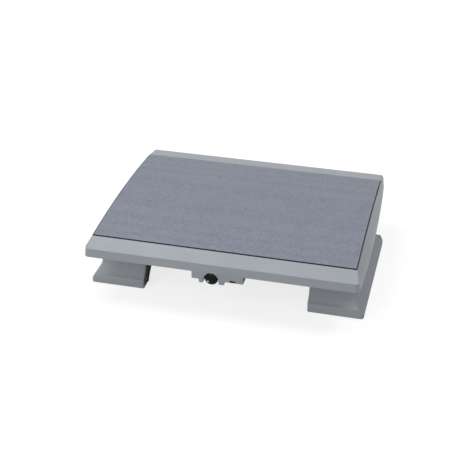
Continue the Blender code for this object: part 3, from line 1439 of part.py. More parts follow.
def build_screw(material):
    """Lock screw from the knob to the shoe, with a groove for its clip."""
    bm = bmesh.new()
    start = KNOB_FRONT + KNOB_FACE + CLEARANCE
    groove = clip_front() - CLEARANCE
    profile = [
        (SCREW_RADIUS - SCREW_CHAMFER, start),
        (SCREW_RADIUS, start + SCREW_CHAMFER),
        (SCREW_RADIUS, groove),
        (SCREW_RADIUS - GROOVE_DEPTH, groove),
        (SCREW_RADIUS - GROOVE_DEPTH, groove + GROOVE_WIDTH + CLEARANCE * 2),
        (SCREW_RADIUS, groove + GROOVE_WIDTH + CLEARANCE * 2),
        (SCREW_RADIUS, SCREW_TIP - SCREW_CHAMFER),
        (SCREW_RADIUS - SCREW_CHAMFER, SCREW_TIP),
    ]
    add_turned(bm, 'Y', (LOCK_X, AXIS_Z), profile)
    return make_object("lock_screw", bm, material)


def clip_front():
    """Front face of the clip that holds the screw's tip in the shoe."""
    return (SHOE_FRONT + SCREW_TIP) / 2


def build_clip(material):
    """Flat clip in the shoe that runs in the screw's groove."""
    inner = SCREW_RADIUS - GROOVE_DEPTH + CLEARANCE
    centre = (LOCK_X, AXIS_Z)
    drop = CLIP_RADIUS * math.sin(math.radians(CLIP_GAP_DEGREES))
    outline = arc(centre, CLIP_RADIUS, -CLIP_GAP_DEGREES, QUARTER_TURN * 2 + CLIP_GAP_DEGREES, ARC_STEPS)
    outline.append((LOCK_X - inner, AXIS_Z - drop))
    outline += arc(centre, inner, QUARTER_TURN * 2, 0.0, ARC_STEPS)
    outline.append((LOCK_X + inner, AXIS_Z - drop))
    front = clip_front()
    clip = prism('Y', outline, front, front + GROOVE_WIDTH)
    clip.name = "screw_clip"
    clip.data.materials.append(material)
    return clip


def build_shoe(material):
    """Brake shoe block with the socket for the screw's tip and the slot for its clip."""
    half = SHOE_WIDTH / 2
    rise = SHOE_HEIGHT / 2
    shoe = box((LOCK_X - half, SHOE_FRONT, AXIS_Z - rise), (LOCK_X + half, SHOE_REAR, AXIS_Z + rise))
    shoe.name = "brake_shoe"
    shoe.data.materials.append(material)
    centre = (LOCK_X, AXIS_Z)
    socket = rod('Y', centre, SCREW_RADIUS + CLEARANCE, SHOE_FRONT - CUT_OVERRUN, SCREW_TIP + CLEARANCE)
    reach = CLIP_RADIUS + CLEARANCE
    front = clip_front() - CLEARANCE
    slot = box(
        (LOCK_X - reach, front, AXIS_Z - reach),
        (LOCK_X + reach, front + GROOVE_WIDTH + CLEARANCE * 2, AXIS_Z + rise + CUT_OVERRUN),
    )
    cut(shoe, socket, slot)
    return shoe


def build_lining(material):
    """Brake lining whose hollow face wraps the sector's rim."""
    spread = math.degrees(math.asin(LINING_HEIGHT / 2 / LINING_REACH))
    face = sector_points(LINING_REACH, -spread, spread)
    rise = LINING_HEIGHT / 2
    outline = [(LINING_FRONT, AXIS_Z - rise), (LINING_FRONT, AXIS_Z + rise)] + face
    half = LINING_WIDTH / 2
    lining = prism('X', outline, LOCK_X - half, LOCK_X + half)
    lining.name = "brake_lining"
    lining.data.materials.append(material)
    return lining


def build_guide(material):
    """Channel that carries the shoe, with ears screwed under the deck."""
    half = GUIDE_HALF
    outer = half + GUIDE_WALL
    ear = outer + GUIDE_EAR
    lip = half - GUIDE_LIP
    roof = GUIDE_TOP - GUIDE_WALL
    floor = AXIS_Z - SHOE_HEIGHT / 2 - CLEARANCE
    bottom = floor - GUIDE_WALL
    right = [
        (lip, floor),
        (half, floor),
        (half, roof),
    ]
    left = [(-x, z) for x, z in reversed(right)]
    outside = [(-lip, bottom), (-outer, bottom), (-outer, roof), (-ear, roof), (-ear, GUIDE_TOP)]
    outside += [(-x, z) for x, z in reversed(outside)]
    outline = right + left + outside
    guide = prism('Y', [(LOCK_X + x, z) for x, z in outline], GUIDE_FRONT, GUIDE_REAR)
    guide.name = "shoe_guide"
    guide.data.materials.append(material)
    ends = (roof - CUT_OVERRUN, GUIDE_TOP + CUT_OVERRUN)
    radius = SMALL_SCREW_RADIUS + CLEARANCE
    holes = [rod('Z', place, radius, *ends, SMALL_ROUND_STEPS) for place in guide_screw_places()]
    cut(guide, gather(holes))
    return guide


def add_empty(name, place, parent=None):
    """Add an empty at a world place, which stands on a joint's axis."""
    empty = bpy.data.objects.new(name, None)
    bpy.context.scene.collection.objects.link(empty)
    empty["world_place"] = place
    offset = Vector(place)
    if parent is not None:
        empty.parent = parent
        offset -= Vector(parent["world_place"])
    empty.location = offset
    return empty


def attach(items, empty):
    """Hang pieces on an empty, their origins moved to its place."""
    place = Vector(empty["world_place"])
    for item in items:
        item.data.transform(Matrix.Translation(-place))
        item.parent = empty


def build_base(materials):
    """Everything that stands still: pedestals, cheeks, feet, tubes and the sector."""
    right = [
        build_pedestal(materials["grey"]),
        build_cheek(materials["black"]),
        build_stretcher_plug(materials["black"]),
        build_stretcher_bolt(materials["dark_steel"]),
    ]
    right += build_cheek_screws(materials["steel"])
    right += build_foot_pads(materials["rubber"])
    for item in right:
        mirrored(item, item.name.replace("right", "left"))
    build_pivot_tube(materials["steel"])
    build_set_screws(materials["dark_steel"])
    build_stretcher(materials["steel"])
    build_sector(materials["zinc"])
    build_sector_pin(materials["steel"])


def build_deck(materials):
    """Everything that tilts, apart from the lock's own moving pieces."""
    bush = build_bush(materials["white"])
    cap = build_saddle_cap(materials["black"])
    ear_bottom = AXIS_Z - CLEARANCE - CAP_EAR - CLEARANCE
    saddle_length = CAP_EAR + CLEARANCE * 2 + SMALL_SCREW_BITE
    housing_seat = HOUSING_TOP - HOUSING_WALL - CLEARANCE
    housing_length = HOUSING_WALL + CLEARANCE * 2 + HOUSING_SCREW_BITE
    guide_seat = GUIDE_TOP - GUIDE_WALL - CLEARANCE
    guide_length = GUIDE_WALL + CLEARANCE * 2 + SMALL_SCREW_BITE
    steel = materials["steel"]
    pieces = [
        build_deck_shell(materials["grey"]),
        build_carpet(materials["carpet"]),
        bush,
        mirrored(bush, "left_saddle_bush"),
        cap,
        mirrored(cap, "left_saddle_cap"),
        build_housing(materials["grey"]),
        build_nut(steel),
        build_guide(materials["black"]),
    ]
    pieces += build_up_screws("saddle_screw", saddle_screw_places(), ear_bottom, saddle_length, steel)
    pieces += build_up_screws("housing_screw", housing_screw_places(), housing_seat, housing_length, steel)
    pieces += build_up_screws("guide_screw", guide_screw_places(), guide_seat, guide_length, steel)
    pieces += build_bumpers(materials["rubber"])
    return pieces


def make_materials():
    """Colours and finishes of the pieces."""
    return {key: surface(*finish) for key, finish in FINISHES.items()}


def main():
    """Build the whole footrest."""
    clear_scene()
    materials = make_materials()
    tilt = add_empty("tilt_axis", (0.0, AXIS_Y, AXIS_Z))
    slide = add_empty("shoe_slide", (LOCK_X, SHOE_FRONT, AXIS_Z), tilt)
    turn = add_empty("knob_axis", (LOCK_X, KNOB_FRONT, AXIS_Z), slide)
    build_base(materials)
    attach(build_deck(materials), tilt)
    shoe = [
        build_shoe(materials["zinc"]),
        build_lining(materials["lining"]),
        build_clip(materials["dark_steel"]),
    ]
    attach(shoe, slide)
    attach([build_knob(materials["black"]), build_screw(materials["steel"])], turn)


if __name__ == "__main__":
    main()
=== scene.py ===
"""Looks of a tilting footrest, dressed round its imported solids.

Units are metres. +X runs right along the front edge, +Y points to the back and +Z is up.
"""

import logging
import math
from dataclasses import dataclass
from enum import Enum
from functools import cache
from typing import Callable, Iterable, Sequence

import bmesh
import bpy
from mathutils import Matrix, Vector


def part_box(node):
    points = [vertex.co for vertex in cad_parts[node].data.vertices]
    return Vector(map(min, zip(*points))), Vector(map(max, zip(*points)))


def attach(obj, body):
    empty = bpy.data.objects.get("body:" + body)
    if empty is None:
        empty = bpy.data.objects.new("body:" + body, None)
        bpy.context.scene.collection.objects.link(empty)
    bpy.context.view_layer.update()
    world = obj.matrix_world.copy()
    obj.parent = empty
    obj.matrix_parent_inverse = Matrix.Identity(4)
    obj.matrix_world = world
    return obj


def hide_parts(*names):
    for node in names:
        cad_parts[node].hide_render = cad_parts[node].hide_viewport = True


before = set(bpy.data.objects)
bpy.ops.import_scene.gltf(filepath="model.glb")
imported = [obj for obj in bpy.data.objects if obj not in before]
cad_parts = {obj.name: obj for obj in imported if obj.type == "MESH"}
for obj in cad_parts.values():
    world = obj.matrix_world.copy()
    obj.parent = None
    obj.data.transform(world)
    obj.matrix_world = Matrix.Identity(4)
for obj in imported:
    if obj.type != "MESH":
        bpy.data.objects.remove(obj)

LOG = logging.getLogger("footrest")

Point = tuple[float, float]
Spot = tuple[float, float, float]
Span = tuple[float, float, float, float]
Colour = tuple[float, float, float, float]
Mesh = bmesh.types.BMesh
Place = Callable[[Vector, Vector], Vector]

# Pivot of the tray as (Y, Z), the bore round its tube, and centre line of the lock as (X, Z)
AXIS_Y = -0.0180
AXIS_Z = 0.0630
LOCK_X = -0.0120
PIVOT = (AXIS_Y, AXIS_Z)
LOCK = (LOCK_X, AXIS_Z)
BORE = 0.0103

GAP = 0.0003
WELD = 1e-6
QUARTER = math.pi / 2
EVEN = (1.0, 1.0, 1.0)
WHITE = (1, 1, 1, 1)
UNLIT = (0, 0, 0, 1)


class Body(Enum):
    """The moving bodies of the footrest."""

    BASE = "base"
    DECK = "deck"
    SHOE = "shoe"
    KNOB = "knob"


class Slot(Enum):
    """The material slots that the record names."""

    GREY = "grey_plastic"
    CARPET = "carpet_fibre"
    BLACK = "black_plastic"
    NATURAL = "natural_plastic"
    RUBBER = "black_rubber"
    LINING = "lining"
    ZINC = "zinc_plated_steel"
    DARK = "dark_steel"
    CAST = "cast_zinc"


class Side(Enum):
    """Left and right, as the sign of X."""

    LEFT = -1
    RIGHT = 1

    @property
    def word(self) -> str:
        """The side's name as the solids spell it."""
        return self.name.lower()


class Axis(Enum):
    """The axes, by number."""

    X = 0
    Y = 1
    Z = 2

    @property
    def cross(self) -> list[int]:
        """The numbers of the other two axes."""
        return [number for number in range(3) if number != self.value]

    @property
    def matrix(self) -> Matrix:
        """The turn that lays (across, up, along) on the other two axes and this one.

        Returns:
            The turn as a matrix.
        """
        rows = [[0, 0, 0, 0] for _ in range(3)] + [[0, 0, 0, 1]]
        for column, row in enumerate(self.cross + [self.value]):
            rows[row][column] = 1
        return Matrix(rows)


def tone(red: float, green: float, blue: float) -> Colour:
    """Turns a screen colour, each part from 0 to 255, into the linear colour that shaders take."""
    shares = [value / 255 for value in (red, green, blue)]
    return (*(share / 12.92 if share <= 0.04045 else ((share + 0.055) / 1.055) ** 2.4 for share in shares), 1.0)


# Shader arithmetic


@dataclass(frozen=True)
class Signal:
    """One shader output that arithmetic turns into Math nodes."""

    graph: "Graph"
    socket: bpy.types.NodeSocket

    def __add__(self, other: "Signal | float") -> "Signal":
        """The sum."""
        return self.graph.maths("ADD", self, other)

    def __radd__(self, other: float) -> "Signal":
        """The sum, with the number first."""
        return self.graph.maths("ADD", other, self)

    def __sub__(self, other: "Signal | float") -> "Signal":
        """The difference."""
        return self.graph.maths("SUBTRACT", self, other)

    def __rsub__(self, other: float) -> "Signal":
        """The difference, with the number first."""
        return self.graph.maths("SUBTRACT", other, self)

    def __mul__(self, other: "Signal | float") -> "Signal":
        """The product."""
        return self.graph.maths("MULTIPLY", self, other)

    def between(self, low: float, high: float) -> "Signal":
        """A smooth step.

        Args:
            low: value at which the step is 0.
            high: value at which the step is 1.

        Returns:
            The step, from 0 to 1.
        """
        inputs = {"Value": self, "From Min": low, "From Max": high}
        node = self.graph.add("ShaderNodeMapRange", {"interpolation_type": "SMOOTHSTEP"}, inputs)
        return Signal(self.graph, node.outputs["Result"])


class Graph:
    """The node tree of a material or a world."""

    def __init__(self, owner: bpy.types.Material | bpy.types.World) -> None:
        """Starts with an empty tree.

        Args:
            owner: the material or world.
        """
        owner.use_nodes = True
        self.tree = owner.node_tree
        self.tree.nodes.clear()

    def feed(self, socket: bpy.types.NodeSocket, value: object) -> None:
        """Links or sets one input.

        Args:
            socket: the input.
            value: a signal, another node's output, or a plain value.
        """
        source = value.socket if isinstance(value, Signal) else value
        if isinstance(source, bpy.types.NodeSocket):
            self.tree.links.new(source, socket)
        else:
            socket.default_value = source

    def add(self, kind: str, settings: dict | None = None, inputs: dict | None = None) -> bpy.types.Node:
        """Adds a node.

        Args:
            kind: the node's type.
            settings: its settings, set before its inputs.
            inputs: values or links by input name or number.

        Returns:
            The node.
        """
        node = self.tree.nodes.new(kind)
        for key, value in (settings or {}).items():
            setattr(node, key, value)
        for key, value in (inputs or {}).items():
            self.feed(node.inputs[key], value)
        return node

    def maths(self, operation: str, *values: "Signal | float") -> Signal:
        """Adds a Math node that works on the values in order."""
        node = self.add("ShaderNodeMath", {"operation": operation}, dict(enumerate(values)))
        return Signal(self, node.outputs["Value"])

    def seen(self) -> Signal:
        """Tells rays that show a surface, directly, mirrored or through glass, from rays that only light others.

        Returns:
            1 for rays that show it and 0 for the rest.
        """
        path = self.add("ShaderNodeLightPath")
        camera, mirrored, through = [
            Signal(self, path.outputs[f"Is {kind} Ray"]) for kind in ("Camera", "Glossy", "Transmission")
        ]
        return (camera + mirrored + through).between(0.0, 1.0)


class Surface(Graph):
    """The node tree of one material with its surface shader."""

    def __init__(self, name: str) -> None:
        """Makes the material, its shader and its output.

        Args:
            name: the material's name.
        """
        self.material = bpy.data.materials.new(name)
        super().__init__(self.material)
        self.shader = self.add("ShaderNodeBsdfPrincipled")
        self.add("ShaderNodeOutputMaterial", {}, {"Surface": self.shader.outputs["BSDF"]})
        self.place = self.add("ShaderNodeTexCoord").outputs["Object"]

    def mapped(self, size: float, stretch: Sequence[float]) -> bpy.types.NodeSocket:
        """Object coordinates scaled to cells of a size in metres, with more cells along an axis by its stretch."""
        scale = tuple(value / size for value in stretch)
        return self.add("ShaderNodeMapping", {}, {"Vector": self.place, "Scale": scale}).outputs["Vector"]

    def noise(self, size: float, detail: float = 2.0, stretch: Sequence[float] = EVEN) -> Signal:
        """Cloudy noise around 0.5, with clouds of a size in metres and octaves of finer detail."""
        inputs = {"Vector": self.mapped(size, stretch), "Scale": 1.0, "Detail": detail}
        return Signal(self, self.add("ShaderNodeTexNoise", {}, inputs).outputs[0])

    def cells(self, size: float, jitter: float, stretch: Sequence[float] = EVEN) -> tuple[Signal, Signal]:
        """Cells such as grains or loops.

        Args:
            size: size of a cell in metres.
            jitter: how far the cells stray from a grid, from 0 to 1.
            stretch: cells per size along each axis.

        Returns:
            The distance from each cell's centre, and a value that differs from cell to cell.
        """
        inputs = {"Vector": self.mapped(size, stretch), "Scale": 1.0, "Randomness": jitter}
        node = self.add("ShaderNodeTexVoronoi", {"feature": "F1"}, inputs)
        parts = self.add("ShaderNodeSeparateColor", {}, {"Color": node.outputs["Color"]})
        return Signal(self, node.outputs["Distance"]), Signal(self, parts.outputs["Red"])

    def blend(self, factor: Signal, first: object, second: object) -> bpy.types.NodeSocket:
        """The mix of two colours or outputs, from the first at 0 to the second at 1."""
        return self.add("ShaderNodeMix", {"data_type": "RGBA"}, {0: factor, 6: first, 7: second}).outputs[2]

    def relief(self, height: Signal, depth: float, strength: float = 1.0) -> bpy.types.NodeSocket:
        """The normal of a bumpy surface whose height from 0 to 1 stands for a depth in metres."""
        inputs = {"Height": height, "Distance": depth, "Strength": strength}
        return self.add("ShaderNodeBump", {}, inputs).outputs["Normal"]


# Finishes


@dataclass(frozen=True)
class Finish:
    """A finish that mixes two colours."""

    name: str
    colour: Colour
    shade: Colour

    def inputs(self, surface: Surface) -> dict:
        """The surface shader's inputs by name."""
        raise NotImplementedError

    @cache
    def material(self) -> bpy.types.Material:
        """Makes the finish into a material, once.

        Returns:
            The material.
        """
        surface = Surface(self.name)
        for key, value in self.inputs(surface).items():
            surface.feed(surface.shader.inputs[key], value)
        return surface.material


@dataclass(frozen=True)
class Moulding(Finish):
    """Moulded plastic with a fine spark texture, faint flow marks and light handling marks."""

    roughness: float = 0.42
    shine: float = 0.32
    grain: float = 0.0006
    depth: float = 0.00004

    def inputs(self, surface: Surface) -> dict:
        """The surface shader's inputs by name.

        Args:
            surface: the node tree to build in.

        Returns:
            Values and links by input name.
        """
        distance, level = surface.cells(self.grain, 1.0)
        clouds = surface.noise(0.060, 3.0)
        flow = surface.noise(0.030, 2.0, (0.35, 1.0, 1.0))
        scuffs = surface.noise(0.0022, 1.0, (0.06, 1.0, 1.0)).between(0.70, 0.82)
        mix = clouds.between(0.3, 0.7) * 0.45 + level * 0.25 + flow * 0.20
        height = (1.0 - distance) * 0.8 + surface.noise(self.grain / 2, 1.0) * 0.4
        return {
            "Base Color": surface.blend(mix, self.colour, self.shade),
            "Roughness": self.roughness + (clouds - 0.5) * 0.10 + level * 0.05 - scuffs * 0.06,
            "Normal": surface.relief(height, self.depth),
            "Specular IOR Level": self.shine,
        }


@dataclass(frozen=True)
class LoopPile(Finish):
    """Short looped carpet: rows of small loops of slightly different tones, and a dark backing colour that also paints
    shade along its cut edge.
    """

    backing: Colour
    loop: float = 0.0018
    depth: float = 0.0006

    def inputs(self, surface: Surface) -> dict:
        """The surface shader's inputs by name.

        Args:
            surface: the node tree to build in.

        Returns:
            Values and links by input name.
        """
        distance, level = surface.cells(self.loop, 0.55, (0.8, 1.0, 1.0))
        fibres = surface.noise(0.0004, 2.0, (0.6, 1.4, 1.0))
        streaks = surface.noise(0.0022, 2.0, (0.35, 1.0, 1.0)).between(0.30, 0.70)
        clouds = surface.noise(0.030, 3.0).between(0.35, 0.65)
        mix = level * 0.55 + streaks * 0.30 + clouds * 0.08
        yarn = surface.blend(mix + (fibres - 0.5) * 0.20, self.colour, self.shade)
        pit = distance.between(0.45, 0.80) * 0.25
        # The cut attribute blends the pad's edge to the dark backing colour: painted shade along the carpet's edge,
        # partly its real dark backing.
        cut = Signal(surface, surface.add("ShaderNodeAttribute", {"attribute_name": "cut"}).outputs["Fac"])
        return {
            "Base Color": surface.blend(cut + pit * (1.0 - cut), yarn, self.backing),
            "Roughness": 0.88 + fibres * 0.10,
            "Normal": surface.relief((1.0 - distance * distance) * 0.8 + fibres * 0.35, self.depth, 0.6),
            "Specular IOR Level": 0.15,
            "Sheen Weight": 0.25,
            "Sheen Roughness": 0.5,
        }


@dataclass(frozen=True)
class Polished(Finish):
    """Glossy black plastic with faint hairlines and a little dust."""

    def inputs(self, surface: Surface) -> dict:
        """The surface shader's inputs by name.

        Args:
            surface: the node tree to build in.

        Returns:
            Values and links by input name.
        """
        specks = surface.noise(0.0012, 2.0).between(0.66, 0.80)
        hairs = surface.noise(0.0015, 1.0, (0.08, 1.0, 1.0)).between(0.62, 0.72)
        waves = surface.noise(0.009, 1.0)
        return {
            "Base Color": surface.blend(specks * 0.10, self.colour, self.shade),
            "Roughness": 0.22 + hairs * 0.10 + specks * 0.10,
            "Normal": surface.relief(waves + hairs * 0.04, 0.00010),
            "Specular IOR Level": 0.12,
        }


@dataclass(frozen=True)
class Rubber(Finish):
    """Matt moulded rubber with a dusty bloom."""

    def inputs(self, surface: Surface) -> dict:
        """The surface shader's inputs by name.

        Args:
            surface: the node tree to build in.

        Returns:
            Values and links by input name.
        """
        distance, level = surface.cells(0.0008, 0.9)
        dust = surface.noise(0.006, 3.0).between(0.45, 0.75)
        return {
            "Base Color": surface.blend(dust * 0.4 + level * 0.15, self.colour, self.shade),
            "Roughness": 0.78 + dust * 0.15,
            "Normal": surface.relief(1.0 - distance, 0.00006),
            "Specular IOR Level": 0.30,
        }


@dataclass(frozen=True)
class Metal(Finish):
    """Turned, plated or cast metal: brushed lines, tarnish clouds and pits as deep as stated."""

    roughness: float
    lines: Sequence[float] = EVEN
    pits: float = 0.00002

    def inputs(self, surface: Surface) -> dict:
        """The surface shader's inputs by name.

        Args:
            surface: the node tree to build in.

        Returns:
            Values and links by input name.
        """
        brushed = surface.noise(0.0006, 2.0, self.lines)
        clouds = surface.noise(0.008, 3.0).between(0.35, 0.72)
        distance, level = surface.cells(0.0011, 1.0)
        return {
            "Base Color": surface.blend(clouds * 0.6 + level * 0.15, self.colour, self.shade),
            "Metallic": 1.0 - clouds * 0.12,
            "Roughness": self.roughness + brushed * 0.12 + clouds * 0.12,
            "Normal": surface.relief(brushed * 0.6 + (1.0 - distance) * 0.4, self.pits),
        }


@dataclass(frozen=True)
class Friction(Finish):
    """Pressed friction lining with short brass and fibre flecks."""

    def inputs(self, surface: Surface) -> dict:
        """The surface shader's inputs by name.

        Args:
            surface: the node tree to build in.

        Returns:
            Values and links by input name.
        """
        distance, level = surface.cells(0.0009, 1.0, (0.4, 1.0, 1.0))
        flecks = (1.0 - distance).between(0.55, 0.8) * level.between(0.7, 0.9)
        return {
            "Base Color": surface.blend(flecks, self.colour, self.shade),
            "Roughness": 0.92 - flecks * 0.35,
            "Normal": surface.relief(surface.noise(0.003, 3.0) + level * 0.5, 0.00012),
            "Metallic": flecks * 0.6,
        }


@dataclass(frozen=True)
class Backdrop(Finish):
    """A floor that looks white and still takes the shadow."""

    glowing: Colour
    glow: float = 0.78

    def inputs(self, surface: Surface) -> dict:
        """The surface shader's inputs by name.

        Args:
            surface: the node tree to build in.

        Returns:
            Values and links by input name.
        """
        seen = surface.seen()
        plain = surface.blend(surface.noise(0.4, 2.0), self.colour, self.shade)
        return {
            "Base Color": surface.blend(seen, plain, self.glowing),
            "Roughness": 0.9,
            "Emission Color": surface.blend(seen, UNLIT, WHITE),
            "Emission Strength": self.glow,
        }


class Coat(Enum):
    """Every finish of the footrest, with the slot that it fills."""

    GREY = (Slot.GREY, Moulding("grey_moulding", tone(159, 164, 170), tone(152, 157, 163)))
    # Painted light: a slightly lighter, more matt copy of the grey moulding that offsets the shade on the legs and the
    # lock housing.
    LEG = (Slot.GREY, Moulding("leg_moulding", tone(161, 166, 172), tone(154, 159, 165), 0.52, 0.05))
    # Black moulding: its own colour on the caps, plugs and guide; on the cheek plates and the slot's plate its
    # darkness is painted shade.
    BLACK = (Slot.BLACK, Moulding("black_moulding", tone(18, 18, 20), tone(12, 12, 14), 0.56, 0.05))
    NATURAL = (Slot.NATURAL, Moulding("bearing_moulding", tone(226, 224, 216), tone(212, 209, 199), 0.35))
    CARPET = (Slot.CARPET, LoopPile("loop_pile", tone(144, 149, 162), tone(120, 125, 139), tone(36, 38, 46)))
    KNOB = (Slot.BLACK, Polished("polished_black", tone(8, 8, 9), tone(70, 70, 72)))
    RUBBER = (Slot.RUBBER, Rubber("moulded_rubber", tone(38, 38, 38), tone(78, 77, 75)))
    ZINC = (Slot.ZINC, Metal("zinc_plating", tone(205, 206, 204), tone(176, 172, 158), 0.26, (1.0, 0.1, 1.0)))
    TUBE = (Slot.ZINC, Metal("plated_tube", tone(208, 209, 208), tone(180, 180, 176), 0.22, (0.08, 1.0, 1.0)))
    DARK = (Slot.DARK, Metal("blackened_steel", tone(72, 72, 74), tone(50, 48, 46), 0.36))
    CAST = (Slot.CAST, Metal("cast_zinc", tone(158, 159, 162), tone(128, 128, 130), 0.46, pits=0.00010))
    LINING = (Slot.LINING, Friction("friction_lining", tone(86, 70, 58), tone(182, 148, 92)))

    def __init__(self, slot: Slot, finish: Finish) -> None:
        """Names the two halves of a member."""
        self.slot = slot
        self.finish = finish


# Mesh helpers


def picked(geometry: Iterable, kind: type) -> list:
    """The items of one kind among mixed geometry."""
    return [item for item in geometry if isinstance(item, kind)]


def linked(name: str, data: bpy.types.ID) -> bpy.types.Object:
    """Makes an object and adds it to the scene.

    Args:
        name: its name.
        data: its mesh, lamp or camera.

    Returns:
        The object.
    """
    thing = bpy.data.objects.new(name, data)
    bpy.context.scene.collection.objects.link(thing)
    return thing


def finished(
    name: str, bm: Mesh, coat: Coat, body: Body, solid: str, edge: float = 0.0, smooth: float = 34.0
) -> None:
    """Turns built geometry into a dressed piece of the object.

    Args:
        name: the piece's name.
        bm: its geometry, which is freed.
        coat: its finish; the coat also names a slot, which is not used here.
        body: the body that it rides on.
        solid: the solid that it stands for.
        edge: width of its rounded edges, or 0 for none.
        smooth: angle in degrees up to which edges look smooth.
    """
    bmesh.ops.remove_doubles(bm, verts=bm.verts[:], dist=WELD)
    bmesh.ops.recalc_face_normals(bm, faces=bm.faces[:])
    mesh = bpy.data.meshes.new(name)
    bm.to_mesh(mesh)
    bm.free()
    mesh.polygons.foreach_set("use_smooth", [True] * len(mesh.polygons))
    mesh.set_sharp_from_angle(angle=math.radians(smooth))
    mesh.materials.append(coat.finish.material())
    piece = linked(name, mesh)
    if edge:
        bevel = piece.modifiers.new("edges", "BEVEL")
        bevel.width = edge
        bevel.segments = 3
        bevel.limit_method = "ANGLE"
        bevel.angle_limit = math.radians(smooth)
        bevel.harden_normals = True
    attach(piece, body.value)
    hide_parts(solid)
    LOG.info("%s stands for %s, %d faces", name, solid, len(mesh.polygons))


def middle(node: str) -> Vector:
    """The middle of a solid's box."""
    low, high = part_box(node)
    return (low + high) / 2


def spread(first: float, last: float, steps: int) -> list[float]:
    """Evenly spread values, both ends included."""
    return [first + (last - first) * step / steps for step in range(steps + 1)]


def polar(centre: Point, radius: float, degrees: float) -> Point:
    """The point at an angle and a distance from a centre."""
    angle = math.radians(degrees)
    return (centre[0] + radius * math.cos(angle), centre[1] + radius * math.sin(angle))


def arc(centre: Point, radius: float, first: float, last: float, steps: int) -> list[Point]:
    """Points along an arc from one angle in degrees to another, both ends included."""
    return [polar(centre, radius, degrees) for degrees in spread(first, last, steps)]


def rectangle(left: float, right: float, low: float, high: float) -> list[Point]:
    """The corners of a rectangle, also as the section of a plain ring."""
    return [(left, low), (right, low), (right, high), (left, high)]


def prism(bm: Mesh, axis: Axis, outline: Sequence[Point], start: float, end: float) -> None:
    """Adds an outline extruded along an axis.

    Args:
        bm: the geometry to add to.
        axis: the axis, which the outline's two coordinates lie square to.
        outline: the corners in order.
        start: where it starts on the axis.
        end: where it ends.
    """
    verts = [bm.verts.new((across, up, start)) for across, up in outline]
    lifted = bmesh.ops.extrude_face_region(bm, geom=[bm.faces.new(verts)])
    top = picked(lifted["geom"], bmesh.types.BMVert)
    bmesh.ops.translate(bm, verts=top, vec=(0, 0, end - start))
    bmesh.ops.transform(bm, verts=verts + top, matrix=axis.matrix)


def absorbed(bm: Mesh, shape: Mesh) -> list[bmesh.types.BMVert]:
    """Moves one geometry into another.

    Args:
        bm: the geometry that grows.
        shape: the geometry that is taken in and freed.

    Returns:
        The vertices that were added.
    """
    count = len(bm.verts)
    carrier = bpy.data.meshes.new("carrier")
    shape.to_mesh(carrier)
    shape.free()
    bm.from_mesh(carrier)
    bpy.data.meshes.remove(carrier)
    bm.verts.ensure_lookup_table()
    return bm.verts[count:]


def turned(
    bm: Mesh, axis: Axis, centre: Sequence[float], profile: Sequence[Point], steps: int = 48, closed: bool = False
) -> list[bmesh.types.BMVert]:
    """Adds a profile turned round an axis.

    Args:
        bm: the geometry to add to.
        axis: the axis it turns round.
        centre: where the axis runs, in its two cross coordinates.
        profile: radius and place along the axis of each corner.
        steps: facets in a full turn.
        closed: whether the profile's ends join, as in a tube.

    Returns:
        The vertices that are left after welding.
    """
    shape = bmesh.new()
    verts = [shape.verts.new((radius, 0, along)) for radius, along in profile]
    pairs = list(zip(verts, verts[1:])) + ([(verts[-1], verts[0])] if closed else [])
    edges = [shape.edges.new(pair) for pair in pairs]
    bmesh.ops.spin(
        shape, geom=verts + edges, cent=(0, 0, 0), axis=(0, 0, 1), angle=math.tau, steps=steps, use_merge=True
    )
    bmesh.ops.remove_doubles(shape, verts=shape.verts[:], dist=WELD)
    matrix = axis.matrix @ Matrix.Translation((centre[0], centre[1], 0))
    bmesh.ops.transform(shape, verts=shape.verts[:], matrix=matrix)
    return absorbed(bm, shape)


def mirrored(bm: Mesh, side: Side) -> None:
    """Swaps geometry built on the right over to its own side."""
    bmesh.ops.scale(bm, verts=bm.verts[:], vec=(side.value, 1, 1))


